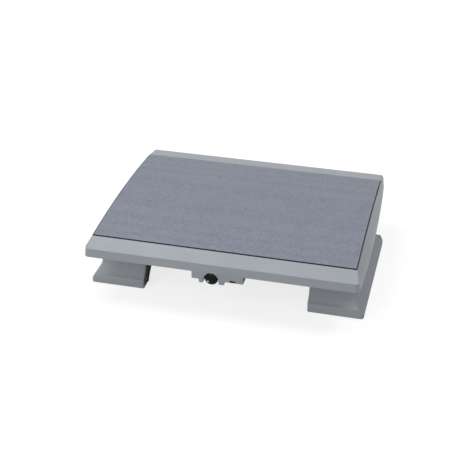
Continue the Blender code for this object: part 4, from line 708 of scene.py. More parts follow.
class RoundedPlan:
    """A rounded rectangle whose edge loop is drawn out ring by ring.

    Each vertex remembers its share of the straight sides and which way it faces, so that every ring can have its own
    size, corner radii and heights.
    """

    def __init__(self, corner_steps: int = 8, side_cuts: int = 27) -> None:
        """Makes the first loop.

        Args:
            corner_steps: facets in each corner.
            side_cuts: cuts along the left and right side.
        """
        self.bm = bmesh.new()
        self.share = self.bm.verts.layers.float_vector.new("share")
        self.out = self.bm.verts.layers.float_vector.new("out")
        bmesh.ops.create_grid(self.bm, x_segments=1, y_segments=1, size=1)
        corners = self.bm.verts[:]
        bmesh.ops.bevel(
            self.bm, geom=corners, affect="VERTICES", offset=0.5, segments=corner_steps, profile=0.5, material=-1
        )
        bmesh.ops.delete(self.bm, geom=self.bm.faces[:], context="FACES_ONLY")
        straight = 1 - max(abs(vert.co.x) for vert in self.bm.verts if abs(vert.co.y) > 1 - WELD)
        sides = [edge for edge in self.bm.edges if all(abs(vert.co.x) > 1 - WELD for vert in edge.verts)]
        bmesh.ops.subdivide_edges(self.bm, edges=sides, cuts=side_cuts)
        for vert in self.bm.verts:
            core = Vector([max(straight - 1, min(1 - straight, value)) for value in vert.co.xy])
            vert[self.share] = (core / (1 - straight)).to_3d()
            vert[self.out] = ((vert.co.xy - core) / straight).to_3d()
        self.loop = self.bm.edges[:]

    def settle(self, verts: Iterable[bmesh.types.BMVert], place: Place) -> None:
        """Puts vertices where a ring wants them, from their share and their direction."""
        for vert in verts:
            vert.co = place(vert[self.share], vert[self.out])

    def begin(self, place: Place) -> None:
        """Puts the first loop in place."""
        self.settle(self.bm.verts, place)

    def ring(self, place: Place) -> list[bmesh.types.BMFace]:
        """Draws the loop out to a new ring.

        Args:
            place: gives a vertex's position from its share and its direction.

        Returns:
            The band of faces between the old and the new loop.
        """
        made = bmesh.ops.extrude_edge_only(self.bm, edges=self.loop)["geom"]
        verts = set(picked(made, bmesh.types.BMVert))
        self.loop = [edge for edge in picked(made, bmesh.types.BMEdge) if verts.issuperset(edge.verts)]
        self.settle(verts, place)
        return picked(made, bmesh.types.BMFace)

    def cap(self) -> None:
        """Closes the loop with strips from left to right, cut in a fixed order from both ends to the middle."""
        verts = {vert for edge in self.loop for vert in edge.verts}
        bmesh.ops.edgeloop_fill(self.bm, edges=self.loop)
        stations: dict[Point, list] = {}
        for vert in sorted(verts, key=lambda vert: vert.co[:]):
            if abs(vert[self.share].x) > 1 - WELD and abs(vert[self.out].y) < 1 - WELD:
                key = (round(vert[self.share].y, 4), round(vert[self.out].y, 4))
                stations.setdefault(key, []).append(vert)
        for key in sorted(stations, key=lambda key: (abs(key[0]) + abs(key[1]), key), reverse=True):
            bmesh.ops.connect_vert_pair(self.bm, verts=stations[key])


def rounded_place(
    half_width: Callable[[float], float], ends: Point, radii: Point, height: Callable[[float, Vector], float]
) -> Place:
    """Where the vertices of a plan go for one ring that is the same left and right.

    Args:
        half_width: half the ring's width at a given Y.
        ends: its front and rear Y.
        radii: its front and rear corner radius.
        height: height at a given Y for a vertex that faces a given way.

    Returns:
        The function that places a vertex.
    """
    low, high = ends[0] + radii[0], ends[1] - radii[1]

    def place(share: Vector, out: Vector) -> Vector:
        """Places one vertex."""
        radius = radii[0] if share.y < 0 else radii[1]
        station = low + (high - low) * (share.y + 1) / 2
        y = station + radius * out.y
        return Vector(((half_width(station) - radius) * share.x + radius * out.x, y, height(y, out)))

    return place


def banded(side: Callable[[float], float], front: float, rear: float) -> Callable[[float, Vector], float]:
    """A ring's height where its sides, front and rear lie at different heights.

    Args:
        side: height of the sides at a given Y.
        front: height of the front.
        rear: height of the rear.

    Returns:
        The height for a Y and a direction.
    """

    def height(y: float, out: Vector) -> float:
        """Height of one vertex."""
        turn = math.asin(min(1, abs(out.y))) / QUARTER
        return side(y) * (1 - turn) + (front if out.y < 0 else rear) * turn

    return height


# The tray and its carpet


@dataclass
class Tray:
    """The tray: sloping bands round a crowned floor, a skirt below, and ribs and posts underneath."""

    width: float = 0.4570
    front_taper: float = 0.0040
    rear_taper: float = 0.0185
    front: float = -0.1780
    rear: float = 0.1780
    widest: float = -0.0830
    wall: float = 0.0030
    skirt_low: float = 0.0753
    skirt_high: float = 0.0908
    side_draft: float = 0.0018
    front_draft: float = 0.0004
    band_front: float = 0.0228
    band_rear: float = 0.0305
    band_side: float = 0.0100
    band_rise: float = 0.0122
    crown_rise: float = 0.0075
    corner_radii: Point = (0.0080, 0.0036)
    rear_round: float = 0.0050
    round_steps: int = 6
    recess_taper: float = 0.0040
    recess_depth: float = 0.0025
    recess_radius: float = 0.0030
    ribs: Point = (-0.0640, 0.0640)
    cross_ribs: Spot = (0.0600, 0.2250, 0.2900)
    cross_half: float = 0.1250
    rib_reach: float = 0.0080
    rib_depth: float = 0.0100
    rib_half: float = 0.00125
    saddle_reach: Point = (0.1104, 0.1344)
    saddle_half: float = 0.0220
    saddle_bore: float = 0.0131
    saddle_web: float = 0.0040
    post_half: float = 0.0040
    post_seat: float = 0.0868
    post_cover: float = 0.0015
    boss_chamfer: float = 0.0004

    @property
    def recess(self) -> Point:
        """Front and rear Y of the recess."""
        return (self.front + self.band_front, self.rear - self.band_rear)

    def half_width(self, y: float) -> float:
        """Half the tray's width at a given Y."""
        taper, end = (self.front_taper, self.front) if y < self.widest else (self.rear_taper, self.rear)
        share = (y - self.widest) / (end - self.widest)
        return (self.width - taper * share * share) / 2

    def recess_half(self, y: float) -> float:
        """Half the recess's width at a given Y."""
        low, high = self.recess
        return self.width / 2 - self.band_side - self.recess_taper / 2 * (y - low) / (high - low)

    def crown(self, y: float) -> float:
        """Height of the lip round the recess at a given Y."""
        low, high = self.recess
        share = (y - (low + high) / 2) / ((high - low) / 2)
        return self.skirt_high + self.band_rise + self.crown_rise * (1 - share * share)

    def ceiling(self, y: float) -> float:
        """Height of the underside of the floor at a given Y."""
        return self.crown(y) - self.recess_depth - self.wall

    def slope(self, y: float) -> float:
        """Height of the front band at a given Y."""
        return self.skirt_high + self.band_rise * (y - self.front) / self.band_front

    def crowned(self, inset: float, drop: float, radius: float) -> Place:
        """A ring round the recess.

        Args:
            inset: how far it lies inside the recess's edge.
            drop: how far it lies below the lip.
            radius: its corner radius.

        Returns:
            Where the ring's vertices go.
        """
        ends = (self.recess[0] + inset, self.recess[1] - inset)
        half, height = lambda y: self.recess_half(y) - inset, lambda y, out: self.crown(y) - drop
        return rounded_place(half, ends, (radius, radius), height)

    def band(self, share: float, rear: float, rear_height: float, wall: float = 0.0) -> Place:
        """A ring on the slopes round the recess.

        Args:
            share: 0 at the skirt, and 1 at the lip or under the floor.
            rear: the ring's rear Y.
            rear_height: height of its rear.
            wall: 0 for the outer side, and the wall for the inner side.

        Returns:
            Where the ring's vertices go.
        """
        top = self.ceiling if wall else self.crown
        low = self.skirt_high - wall / 2
        run = self.band_front if wall else self.band_front - self.front_draft
        radii = tuple(
            radius - wall if wall else radius + (self.recess_radius - radius) * share for radius in self.corner_radii
        )

        def half(y: float) -> float:
            """Half the ring's width."""
            outer = self.half_width(y) - self.side_draft - wall
            return outer + (self.recess_half(y) - wall - outer) * share

        def height(y: float) -> float:
            """Height of the ring's sides."""
            return low + (top(y) - low) * share

        front = self.front + self.front_draft + wall + run * share
        return rounded_place(half, (front, rear), radii, banded(height, height(self.recess[0]), rear_height))

    def skirt(self, inset: float) -> Place:
        """The ring at the skirt's lower edge.

        Args:
            inset: how far it lies inside the skirt's outer face.

        Returns:
            Where the ring's vertices go.
        """
        radii = tuple(radius - inset for radius in self.corner_radii)
        ends = (self.front + inset, self.rear - inset)
        return rounded_place(lambda y: self.half_width(y) - inset, ends, radii, lambda y, out: self.skirt_low)

    def skin(self) -> Mesh:
        """Builds the shell of the tray, closed all round.

        Returns:
            The shell's geometry.
        """
        plan = RoundedPlan()
        plan.begin(self.crowned(0, self.recess_depth, self.recess_radius))
        plan.cap()
        plan.ring(self.crowned(0, 0, self.recess_radius))
        shoulder = self.rear - self.rear_round
        for step, angle in enumerate(spread(0, QUARTER, self.round_steps)):
            share = 0.60 - 0.54 * step / self.round_steps
            drop = self.rear_round * (1 - math.cos(angle))
            plan.ring(self.band(share, shoulder + self.rear_round * math.sin(angle), self.crown(shoulder) - drop))
        plan.ring(self.band(0, self.rear, self.skirt_high))
        plan.ring(self.skirt(0))
        plan.ring(self.skirt(self.wall))
        inner, slope = self.rear - self.wall, shoulder - self.wall
        plan.ring(self.band(0, inner, self.skirt_high - self.wall / 2, self.wall))
        plan.ring(self.band(0.5, slope, self.crown(slope) - self.wall, self.wall))
        plan.ring(self.band(1, self.recess[1] - self.wall, self.ceiling(self.recess[1]), self.wall))
        plan.cap()
        return plan.bm

    def stiffen(self, bm: Mesh) -> None:
        """Adds the ribs under the floor, first those from front to rear and then those across.

        Args:
            bm: the geometry to add to.
        """
        start, end = self.recess[0] + self.rib_reach, self.recess[1] - self.rib_reach
        bottom = self.ceiling(AXIS_Y) - self.rib_depth
        outline = [(start, bottom), (end, bottom)]
        outline += [(y, self.ceiling(y) + self.wall / 3) for y in spread(end, start, 24)]
        for x in self.ribs:
            prism(bm, Axis.X, outline, x - self.rib_half, x + self.rib_half)
        for setback in self.cross_ribs:
            y = self.front + setback
            section = rectangle(-self.cross_half, self.cross_half, bottom, self.ceiling(y) + self.wall / 3)
            prism(bm, Axis.Y, section, y - self.rib_half, y + self.rib_half)

    def saddle(self, bm: Mesh, side: Side) -> None:
        """Adds the block that sits on a bush, with an arched seat and cored flanks.

        Args:
            bm: the geometry to add to.
            side: the block's side.
        """
        half, web = self.saddle_half, self.saddle_web
        low, high = sorted(side.value * reach for reach in self.saddle_reach)
        top = min(self.ceiling(AXIS_Y - half), self.ceiling(AXIS_Y + half)) + self.wall / 3
        seat = arc(PIVOT, self.saddle_bore, 180, 0, 24)

        def block(reach: float) -> list[Point]:
            """The outline over the seat that reaches this far to the front and rear."""
            front, rear = AXIS_Y - reach, AXIS_Y + reach
            return [(front, AXIS_Z)] + seat + [(rear, AXIS_Z), (rear, top), (front, top)]

        for start in (low, high - web):
            prism(bm, Axis.X, block(half), start, start + web)
        prism(bm, Axis.X, block(half - web * 2.5), low + web / 2, high - web / 2)
        for sign in (-1, 1):
            ends = sorted((AXIS_Y + sign * half, AXIS_Y + sign * (self.saddle_bore + GAP * 2)))
            shelf = rectangle(*ends, AXIS_Z, AXIS_Z + self.saddle_bore + web)
            prism(bm, Axis.X, shelf, low + web / 2, high - web / 2)

    def posts(self, bm: Mesh) -> None:
        """Adds the posts and round bosses that screws and bumpers go into.

        Args:
            bm: the geometry to add to.
        """
        half = self.post_half
        for number in range(1, 4):
            x, y, _ = middle(f"housing_screw_{number}")
            near, far = self.slope(y - half) - self.post_cover, self.slope(y + half) - self.post_cover
            outline = [(y - half, self.post_seat), (y + half, self.post_seat), (y + half, far), (y - half, near)]
            prism(bm, Axis.X, outline, x - half, x + half)
        for name, count, radius, seat in (("guide_screw", 2, 0.0045, 0.0766), ("stop_bumper", 4, 0.0070, 0.0973)):
            for number in range(1, count + 1):
                x, y, _ = middle(f"{name}_{number}")
                top = self.ceiling(y) + self.wall / 3
                tip = [(0, seat), (radius - self.boss_chamfer, seat), (radius, seat + self.boss_chamfer)]
                turned(bm, Axis.Z, (x, y), tip + [(radius, top), (0, top)], 32)

    def build(self) -> None:
        """Builds and dresses the tray."""
        bm = self.skin()
        self.stiffen(bm)
        for side in Side:
            self.saddle(bm, side)
        self.posts(bm)
        finished("tray", bm, Coat.GREY, Body.DECK, "deck_shell", 0.0006, 30)


@dataclass
class CarpetPad:
    """The carpet that is glued into the tray's recess."""

    tray: Tray
    edge_gap: float = 0.0010
    proud: float = 0.0012
    edge_round: float = 0.0016
    edge_steps: int = 5

    def build(self) -> None:
        """Builds and dresses the pad."""
        tray = self.tray
        corner = tray.recess_radius - self.edge_gap
        plan = RoundedPlan(6, 63)
        cut = plan.bm.verts.layers.float.new("cut")
        plan.begin(tray.crowned(self.edge_gap, tray.recess_depth - GAP, corner))
        plan.cap()
        # Painted shade: cut marks the underside and the lower edge rings, which the carpet darkens towards its backing
        # colour.
        for vert in plan.bm.verts:
            vert[cut] = 1
        for step, angle in enumerate(spread(0, QUARTER, self.edge_steps)):
            inset = self.edge_gap + self.edge_round * (1 - math.cos(angle))
            drop = -self.proud + self.edge_round * (1 - math.sin(angle))
            plan.ring(tray.crowned(inset, drop, corner))
            for vert in {vert for edge in plan.loop for vert in edge.verts}:
                vert[cut] = min(1, (self.edge_steps - step) / 2)
        plan.cap()
        finished("carpet_pad", plan.bm, Coat.CARPET, Body.DECK, "carpet", 0, 40)


# The pedestals


@dataclass
class Pedestal:
    """A hollow leg with a toe, a coved flank and a roof that slopes both ways."""

    side: Side
    inner: float = 0.1390
    outer: float = 0.2315
    front: float = -0.1400
    rear: float = 0.1040
    wall: float = 0.0032
    lift: float = 0.0010
    toe: float = 0.0155
    toe_round: float = 0.0020
    toe_drop: float = 0.0085
    neck: float = 0.0445
    cove: float = 0.0150
    cove_start: float = 25.0
    inner_radius: float = 0.0036
    outer_radii: Point = (0.0050, 0.0060)
    flange: float = 0.0046
    roof_lip: float = 0.0080
    roof_distance: float = 0.0275
    slopes: Point = (15.0, 10.0)
    side_cuts: int = 21
    boss: Span = (BORE, 0.0150, 0.1913, 0.2138)
    post: Span = (0.0021, 0.0050, 0.1448, 0.1628)
    arm_half: float = 0.0025
    arm_sink: float = 0.0010
    pad_seat: Span = (0.0033, 0.0150, 0.0043, 0.0073)

    @property
    def last_column(self) -> float:
        """Share of the straight side at which the inner side's flange ends."""
        return 1 - 2 / (self.side_cuts + 1)

    def roof(self, y: float) -> float:
        """Height of the roof at a given Y."""
        front, rear = (math.radians(slope) for slope in self.slopes)
        near = self.roof_distance / math.cos(front) + (y - AXIS_Y) * math.tan(front)
        far = self.roof_distance / math.cos(rear) - (y - AXIS_Y) * math.tan(rear)
        return AXIS_Z + min(near, far)

    def levels(self) -> list[Point]:
        """Lays out the leg's rings, in order from the floor to the neck.

        Returns:
            An inset and a height for each ring.
        """
        levels = [(0, self.lift), (0, self.toe)]
        for angle in spread(0, QUARTER, 4)[1:-1]:
            levels.append((self.toe_round * (1 - math.cos(angle)), self.toe + self.toe_round * math.sin(angle)))
        start = math.radians(self.cove_start)
        reach = (self.cove - self.toe_round) / (1 - math.sin(start))
        foot = self.toe + self.toe_round
        rise = (self.neck - foot) / math.cos(start)
        for angle in spread(start, QUARTER, 12):
            inset = self.toe_round + reach * (math.sin(angle) - math.sin(start))
            levels.append((inset, foot + rise * (math.cos(start) - math.cos(angle))))
        return levels

    def place(self, inset: float, height: Callable[[float], float], offset: float = 0.0) -> Place:
        """Where a ring's vertices go.

        Args:
            inset: how far the cove has gone in.
            height: height at a given Y.
            offset: how far the ring lies inside the outer skin.

        Returns:
            The function that places a vertex.
        """
        share = inset / self.cove
        outer = self.outer_radii[0] + (self.outer_radii[1] - self.outer_radii[0]) * share
        middle_y = (self.front + self.rear) / 2
        left, right = self.inner + self.inner_radius, self.outer - inset - outer

        def spot(position: Vector, out: Vector) -> Vector:
            """Places one vertex."""
            radius = outer if position.x > 0 else self.inner_radius
            x = left + (right - left) * (position.x + 1) / 2
            column = max(-1, min(1, position.y / self.last_column))
            reach = self.rear - middle_y - inset - radius
            if abs(position.y) < 1 - WELD:
                reach -= self.flange - self.inner_radius
            y = middle_y + column * reach + out.y * (radius - offset)
            z = height(y)
            if position.x > 0:
                z -= min(self.toe_drop * (1 - share * share), z - self.lift) * max(0, out.x)
            return Vector((x + out.x * (radius - offset), y, z))

        return spot

    def skin(self, bm: Mesh, offset: float) -> None:
        """Adds one skin of the leg, open below and on its inner side.

        Args:
            bm: the geometry to add to.
            offset: how far the skin lies inside the outer one.
        """
        plan = RoundedPlan(8, self.side_cuts)
        levels = self.levels()
        plan.begin(self.place(levels[0][0], lambda y: self.lift, offset))
        opened = []
        for inset, height in levels[1:]:
            opened += plan.ring(self.place(inset, lambda y, height=height: height, offset))
        opened += plan.ring(self.place(self.cove, lambda y: self.roof(y) - self.roof_lip, offset))
        plan.ring(self.place(self.cove, lambda y: self.roof(y) - offset, offset))
        plan.cap()
        edge = self.last_column + WELD
        gone = [
            face
            for face in opened
            if all(vert[plan.out].x < WELD - 1 and abs(vert[plan.share].y) < edge for vert in face.verts)
        ]
        bmesh.ops.delete(plan.bm, geom=gone, context="FACES")
        absorbed(bm, plan.bm)

    def inside(self, bm: Mesh) -> None:
        """Adds the tube boss, the screw posts with their arms and the seats of the foot pads.

        Args:
            bm: the geometry to add to.
        """
        turned(bm, Axis.X, PIVOT, rectangle(*self.boss), 48, True)
        for number in range(1, 5):
            _, y, z = middle(f"right_cheek_screw_{number}")
            turned(bm, Axis.X, (y, z), rectangle(*self.post), 32, True)
            inset = self.cove if z > self.neck else 0
            face, sign = (self.front + inset, 1) if y < AXIS_Y else (self.rear - inset, -1)
            ends = sorted((face + sign * (self.wall - self.arm_sink), y - sign * (self.post[1] - self.arm_sink)))
            prism(bm, Axis.X, rectangle(*ends, z - self.arm_half, z + self.arm_half), *self.post[2:])
        for number in range(1, 5):
            turned(bm, Axis.Z, middle(f"right_foot_pad_{number}"), rectangle(*self.pad_seat), 40, True)

    def build(self) -> None:
        """Builds and dresses the pedestal, whose two skins are joined along their open edges."""
        bm = bmesh.new()
        self.skin(bm, 0)
        self.skin(bm, self.wall)
        bmesh.ops.bridge_loops(bm, edges=[edge for edge in bm.edges if edge.is_boundary])
        self.inside(bm)
        mirrored(bm, self.side)
        finished(f"{self.side.word}_leg", bm, Coat.LEG, Body.BASE, f"{self.side.word}_pedestal", 0.0005, 36)


@dataclass
class Cheek:
    """The plate that closes a pedestal's inner side, with an arched lower edge, a hub and a stretcher socket."""

    leg: Pedestal
    back: float = 0.1445
    face: float = 0.1393
    arch_height: float = 0.0440
    centre_drop: float = 0.0200
    foot: float = 0.0250
    rim: float = 0.0025
    rim_proud: float = 0.0008
    sink: float = 0.0010
    hub: Span = (BORE, 0.0160, 0.1370, 0.1645)
    socket_centre: Point = (0.0620, 0.0470)
    socket: Spot = (0.0083, 0.0118, 0.1315)
    gusset: Point = (0.0150, 0.0215)
    gusset_half: float = 0.0010
    gusset_proud: float = 0.0022

    def arch(self, margin: float, steps: int = 40) -> list[Point]:
        """The arched lower edge.

        Args:
            margin: how far outside the arch the line lies.
            steps: facets along it.

        Returns:
            The points from front to rear.
        """
        leg = self.leg
        rise = self.arch_height + self.centre_drop
        foot = (leg.lift + self.centre_drop) / rise
        half = ((leg.rear - leg.front) / 2 - self.foot) / math.sqrt(1 - foot * foot)
        start = math.asin((leg.lift + self.centre_drop) / (rise + margin))
        points = []
        for angle in spread(math.pi - start, start, steps):
            y = AXIS_Y + (half + margin) * math.cos(angle)
            points.append((y, (rise + margin) * math.sin(angle) - self.centre_drop))
        return points

    def outline(self) -> list[Point]:
        """The corners of the plate, inside the pedestal's walls.

        Returns:
            The corners in order.
        """
        leg = self.leg
        front = [(leg.front + inset + leg.flange + GAP, height) for inset, height in leg.levels()]
        rear = [(leg.front + leg.rear - y, z) for y, z in reversed(front)]
        roof = [(y, leg.roof(y) - leg.wall - GAP) for y in spread(front[-1][0], rear[0][0], 12)]
        return front + roof + rear + self.arch(0)[::-1]

    def build(self) -> None:
        """Builds and dresses the plate."""
        bm = bmesh.new()
        prism(bm, Axis.X, self.outline(), self.face, self.back)
        band = self.arch(self.rim) + self.arch(0)[::-1]
        prism(bm, Axis.X, band, self.face - self.rim_proud, self.face + self.sink)
        turned(bm, Axis.X, PIVOT, rectangle(*self.hub), 64, True)
        turned(bm, Axis.X, self.socket_centre, rectangle(*self.socket, self.face + self.sink), 48, True)
        for angle in (45, 135, 225, 315):
            root, tip = (polar(PIVOT, radius, angle) for radius in self.gusset)
            corners = [(root, 90), (root, -90), (tip, -90), (tip, 90)]
            section = [polar(corner, self.gusset_half, angle + turn) for corner, turn in corners]
            prism(bm, Axis.X, section, self.face - self.gusset_proud, self.face + self.sink / 2)
        mirrored(bm, self.leg.side)
        word = self.leg.side.word
        # Painted shade: the plate's near-black colour stands in for the deep shade under the tray on the leg's inner
        # side.
        finished(f"{word}_cheek_plate", bm, Coat.BLACK, Body.BASE, f"{word}_cheek", 0.0004)


# The lock


@dataclass
class LockHousing:
    """The housing under the front edge: an arch round the knob, two lugs, a slot and a hollow body."""

    left: float = -0.0440
    right: float = 0.0410
    front: float = -0.1776
    rear: float = -0.1480
    tuck: float = -0.1743
    bottom: float = 0.0620
    shelf: float = 0.0750
    top: float = 0.0865
    wall: float = 0.0030
    rear_wall: float = 0.0045
    arch: float = 0.0124
    lug_bottom: float = 0.0555
    lug_widths: Point = (0.0080, 0.0096)
    lug_depth: float = 0.0120
    lug_radius: float = 0.0026
    step: float = 0.00015
    sleeve_wall: float = 0.0020
    sleeve_depth: float = 0.0130
    sink: float = 0.0010
    proud: float = 0.0003
    lip_drop: float = 0.0004
    slot: Span = (0.0192, 0.0283, 0.0630, 0.0660)
    slot_margin: float = 0.0005
    mark: Span = (0.0019, 0.0031, 0.0662, 0.0747)
    nut_flats: float = 0.0133
    nut_reach: Point = (-0.1590, -0.1525)
    nut_bore: float = 0.0043

    def mouth(self, radius: float, rise: float) -> list[Point]:
        """The left part of a circle round the knob, from the housing's bottom up to a height.

        Args:
            radius: the circle's radius.
            rise: the height at which it ends.

        Returns:
            The points from the bottom up.
        """
        low = math.degrees(math.asin((self.bottom - AXIS_Z) / radius))
        high = math.degrees(math.asin(min(1, (rise - AXIS_Z) / radius)))
        return arc(LOCK, radius, 180 - low, 180 - high, 36)

    def flipped(self, points: Sequence[Point]) -> list[Point]:
        """Points mirrored about the knob's centre line."""
        return [(2 * LOCK_X - x, z) for x, z in points]

    def fascia(self, bm: Mesh) -> None:
        """Adds the front wall on each side of the arch, with the slot through its right part.

        Args:
            bm: the geometry to add to.
        """
        curve = self.mouth(self.arch, self.shelf)
        left = [(self.left, self.shelf), (self.left, self.bottom)] + curve
        right = [(self.right, self.shelf), (self.right, self.bottom)] + self.flipped(curve)
        prism(bm, Axis.Y, left, self.front, self.front + self.wall)
        plate = bmesh.new()
        plate.faces.new([plate.verts.new((x, z, self.front)) for x, z in right])
        start, end, low, high = self.slot
        for spot, normal in (
            ((start, 0, 0), (1, 0, 0)), ((end, 0, 0), (1, 0, 0)), ((0, low, 0), (0, 1, 0)), ((0, high, 0), (0, 1, 0))
        ):
            geometry = plate.verts[:] + plate.edges[:] + plate.faces[:]
            bmesh.ops.bisect_plane(plate, geom=geometry, dist=WELD, plane_co=spot, plane_no=normal)
        centres = {face: face.calc_center_median() for face in plate.faces}
        gone = [face for face, centre in centres.items() if start < centre.x < end and low < centre.y < high]
        bmesh.ops.delete(plate, geom=gone, context="FACES")
        lifted = bmesh.ops.extrude_face_region(plate, geom=plate.faces[:])
        bmesh.ops.translate(plate, verts=picked(lifted["geom"], bmesh.types.BMVert), vec=(0, 0, self.wall))
        bmesh.ops.transform(plate, verts=plate.verts[:], matrix=Axis.Y.matrix)
        absorbed(bm, plate)

    def lug(self, bm: Mesh, start: float, end: float) -> None:
        """Adds one lug with a rounded bottom between two places across.

        Args:
            bm: the geometry to add to.
            start: where it starts across.
            end: where it ends.
        """
        radius = self.lug_radius
        low = self.lug_bottom + radius
        outline = [(start, self.bottom + self.sink)]
        outline += arc((start + radius, low), radius, 180, 270, 8) + arc((end - radius, low), radius, 270, 360, 8)
        outline.append((end, self.bottom + self.sink))
        prism(bm, Axis.Y, outline, self.front + self.step, self.front + self.lug_depth)

    def sleeve(self, bm: Mesh) -> None:
        """Adds the sleeve round the knob and its lip, each in two halves.

        Args:
            bm: the geometry to add to.
        """
        for gap, wall, rise, start, end in (
            (self.step, self.sleeve_wall, self.shelf, self.step * 3, self.sleeve_depth),
            (-self.step, self.sink, self.shelf - self.lip_drop, -self.proud, self.sink),
        ):
            band = self.mouth(self.arch + gap, rise) + self.mouth(self.arch + wall, rise)[::-1]
            for outline in (band, self.flipped(band)):
                prism(bm, Axis.Y, outline, self.front + start, self.front + end)

    def body(self, bm: Mesh) -> None:
        """Adds the walls behind the front: sides, ledge, roof, rear wall and the nut's boss.

        Args:
            bm: the geometry to add to.
        """
        wall = self.wall
        edge, inner, rear = self.front + wall / 2, self.tuck + wall, self.rear - self.rear_wall
        back = [(self.rear, self.bottom), (self.rear, self.top), (self.tuck, self.top), (self.tuck, self.shelf)]
        for start in (self.left, self.right - wall):
            prism(bm, Axis.X, [(edge, self.bottom)] + back + [(edge, self.shelf)], start, start + wall)
        ledge = [(edge, self.shelf), (edge, self.shelf - wall / 3), (inner, self.shelf - wall / 3)]
        ledge += [(inner, self.top - wall), (rear, self.top - wall), (rear, self.bottom)]
        prism(bm, Axis.X, ledge + back, self.left + wall / 2, self.right - wall / 2)
        flats = self.nut_flats / 2 / math.cos(math.pi / 6)
        start, end = self.nut_reach
        bore = [(self.nut_bore, self.rear), (self.nut_bore, end), (flats, end)]
        turned(bm, Axis.Y, LOCK, [(flats, start), (BORE, start), (BORE, self.rear)] + bore, 48, True)

    def build(self) -> None:
        """Builds and dresses the housing, and the black plate sunk in its slot that paints the shade inside it."""
        bm = bmesh.new()
        self.fascia(bm)
        left, right = LOCK_X - self.arch, LOCK_X + self.arch
        self.lug(bm, left - self.lug_widths[0], left)
        self.lug(bm, right, right + self.lug_widths[1])
        self.sleeve(bm)
        self.body(bm)
        prism(bm, Axis.Y, rectangle(*self.mark), self.front - self.proud, self.front + self.sink)
        finished("lock_body", bm, Coat.LEG, Body.DECK, "lock_housing", 0.0004)
        # Painted shade: a black plate sunk behind the slot stands in for the shade inside the housing.
        bm = bmesh.new()
        shade_plate = [value + self.slot_margin * sign for value, sign in zip(self.slot, (-1, 1, -1, 1))]
        prism(bm, Axis.Y, rectangle(*shade_plate), self.front + self.wall * 0.12, self.front + self.wall * 0.8)
        finished("slot_shade_plate", bm, Coat.BLACK, Body.DECK, "lock_housing", 0.0002)


@dataclass
class LockKnob:
    """The round knob: a domed face with a pale spot that paints a reflection, and a rim with shallow flutes."""

    radius: float = 0.0110
    front: float = -0.1775
    rear: float = -0.1635
    chamfer: float = 0.0012
    bore: float = 0.0043
    bore_front: float = -0.1735
    dome: float = 0.0030
    flutes: int = 16
    flute_depth: float = 0.0004
    painted_glint: Point = (-0.0049, -0.0040)
    painted_glint_radius: float = 0.0014
    painted_glint_front: float = -0.1773

    def profile(self) -> list[Point]:
        """Lays out the knob's section, from the middle of the face round to the bore.

        Returns:
            A radius and a place along the axis for each corner.
        """
        points = []
        for angle in spread(0, QUARTER, 12):
            points.append((self.radius * math.sin(angle), self.front + self.dome * (1 - math.cos(angle))))
        chamfer, radius, rear = self.chamfer, self.radius, self.rear
        points += [(radius, rear - chamfer), (radius - chamfer / 3, rear - chamfer / 3), (radius - chamfer, rear)]
        return points + [(self.bore, rear), (self.bore, self.bore_front), (0, self.bore_front)]

    def build(self) -> None:
        """Builds and dresses the knob."""
        bm = bmesh.new()
        axis = Vector((LOCK_X, 0, AXIS_Z))
        for vert in turned(bm, Axis.Y, LOCK, self.profile(), 128):
            spoke = Vector((vert.co.x, 0, vert.co.z)) - axis
            share = max(0, min(1, (spoke.length - self.radius * 0.86) / (self.radius * 0.12)))
            angle = math.atan2(spoke.z, spoke.x)
            shrink = share * self.flute_depth * (1 - math.cos(angle * self.flutes)) / 2
            vert.co -= spoke.normalized() * shrink
        finished("knob_cap", bm, Coat.KNOB, Body.KNOB, "lock_knob", 0, 44)
        self.mark()

    def mark(self) -> None:
        """Builds the pale spot let into the face, low on the left: a painted reflection of the floor."""
        bm = bmesh.new()
        radius, front = self.painted_glint_radius, self.painted_glint_front
        profile = [(0, front), (radius * 0.85, front), (radius, front + radius * 0.15)]
        profile += [(radius, front + radius), (0, front + radius)]
        # Painted reflection: a pale spot where the glossy dome would mirror the bright floor.
        turned(bm, Axis.Y, (LOCK_X + self.painted_glint[0], AXIS_Z + self.painted_glint[1]), profile, 32)
        finished("knob_painted_glint", bm, Coat.NATURAL, Body.KNOB, "lock_knob")


# Turned and refined small pieces

REFINED = (
    (("left_stretcher_bolt", "right_stretcher_bolt"), Coat.DARK, Body.BASE, 0.0003),
    (("tube_set_screw_1", "tube_set_screw_2"), Coat.DARK, Body.BASE, 0.0002),
    (("sector_pin",), Coat.ZINC, Body.BASE, 0.0003),
    (("left_saddle_cap", "right_saddle_cap", "shoe_guide"), Coat.BLACK, Body.DECK, 0.0005),
    (("left_stretcher_plug", "right_stretcher_plug"), Coat.BLACK, Body.BASE, 0.0003),
    (("tilt_sector",), Coat.CAST, Body.BASE, 0.0005),
    (("brake_shoe",), Coat.CAST, Body.SHOE, 0.0004),
    (("brake_lining",), Coat.LINING, Body.SHOE, 0.0003),
    (("screw_clip",), Coat.DARK, Body.SHOE, 0.0002),
    (("lock_nut",), Coat.ZINC, Body.DECK, 0.0004),
)


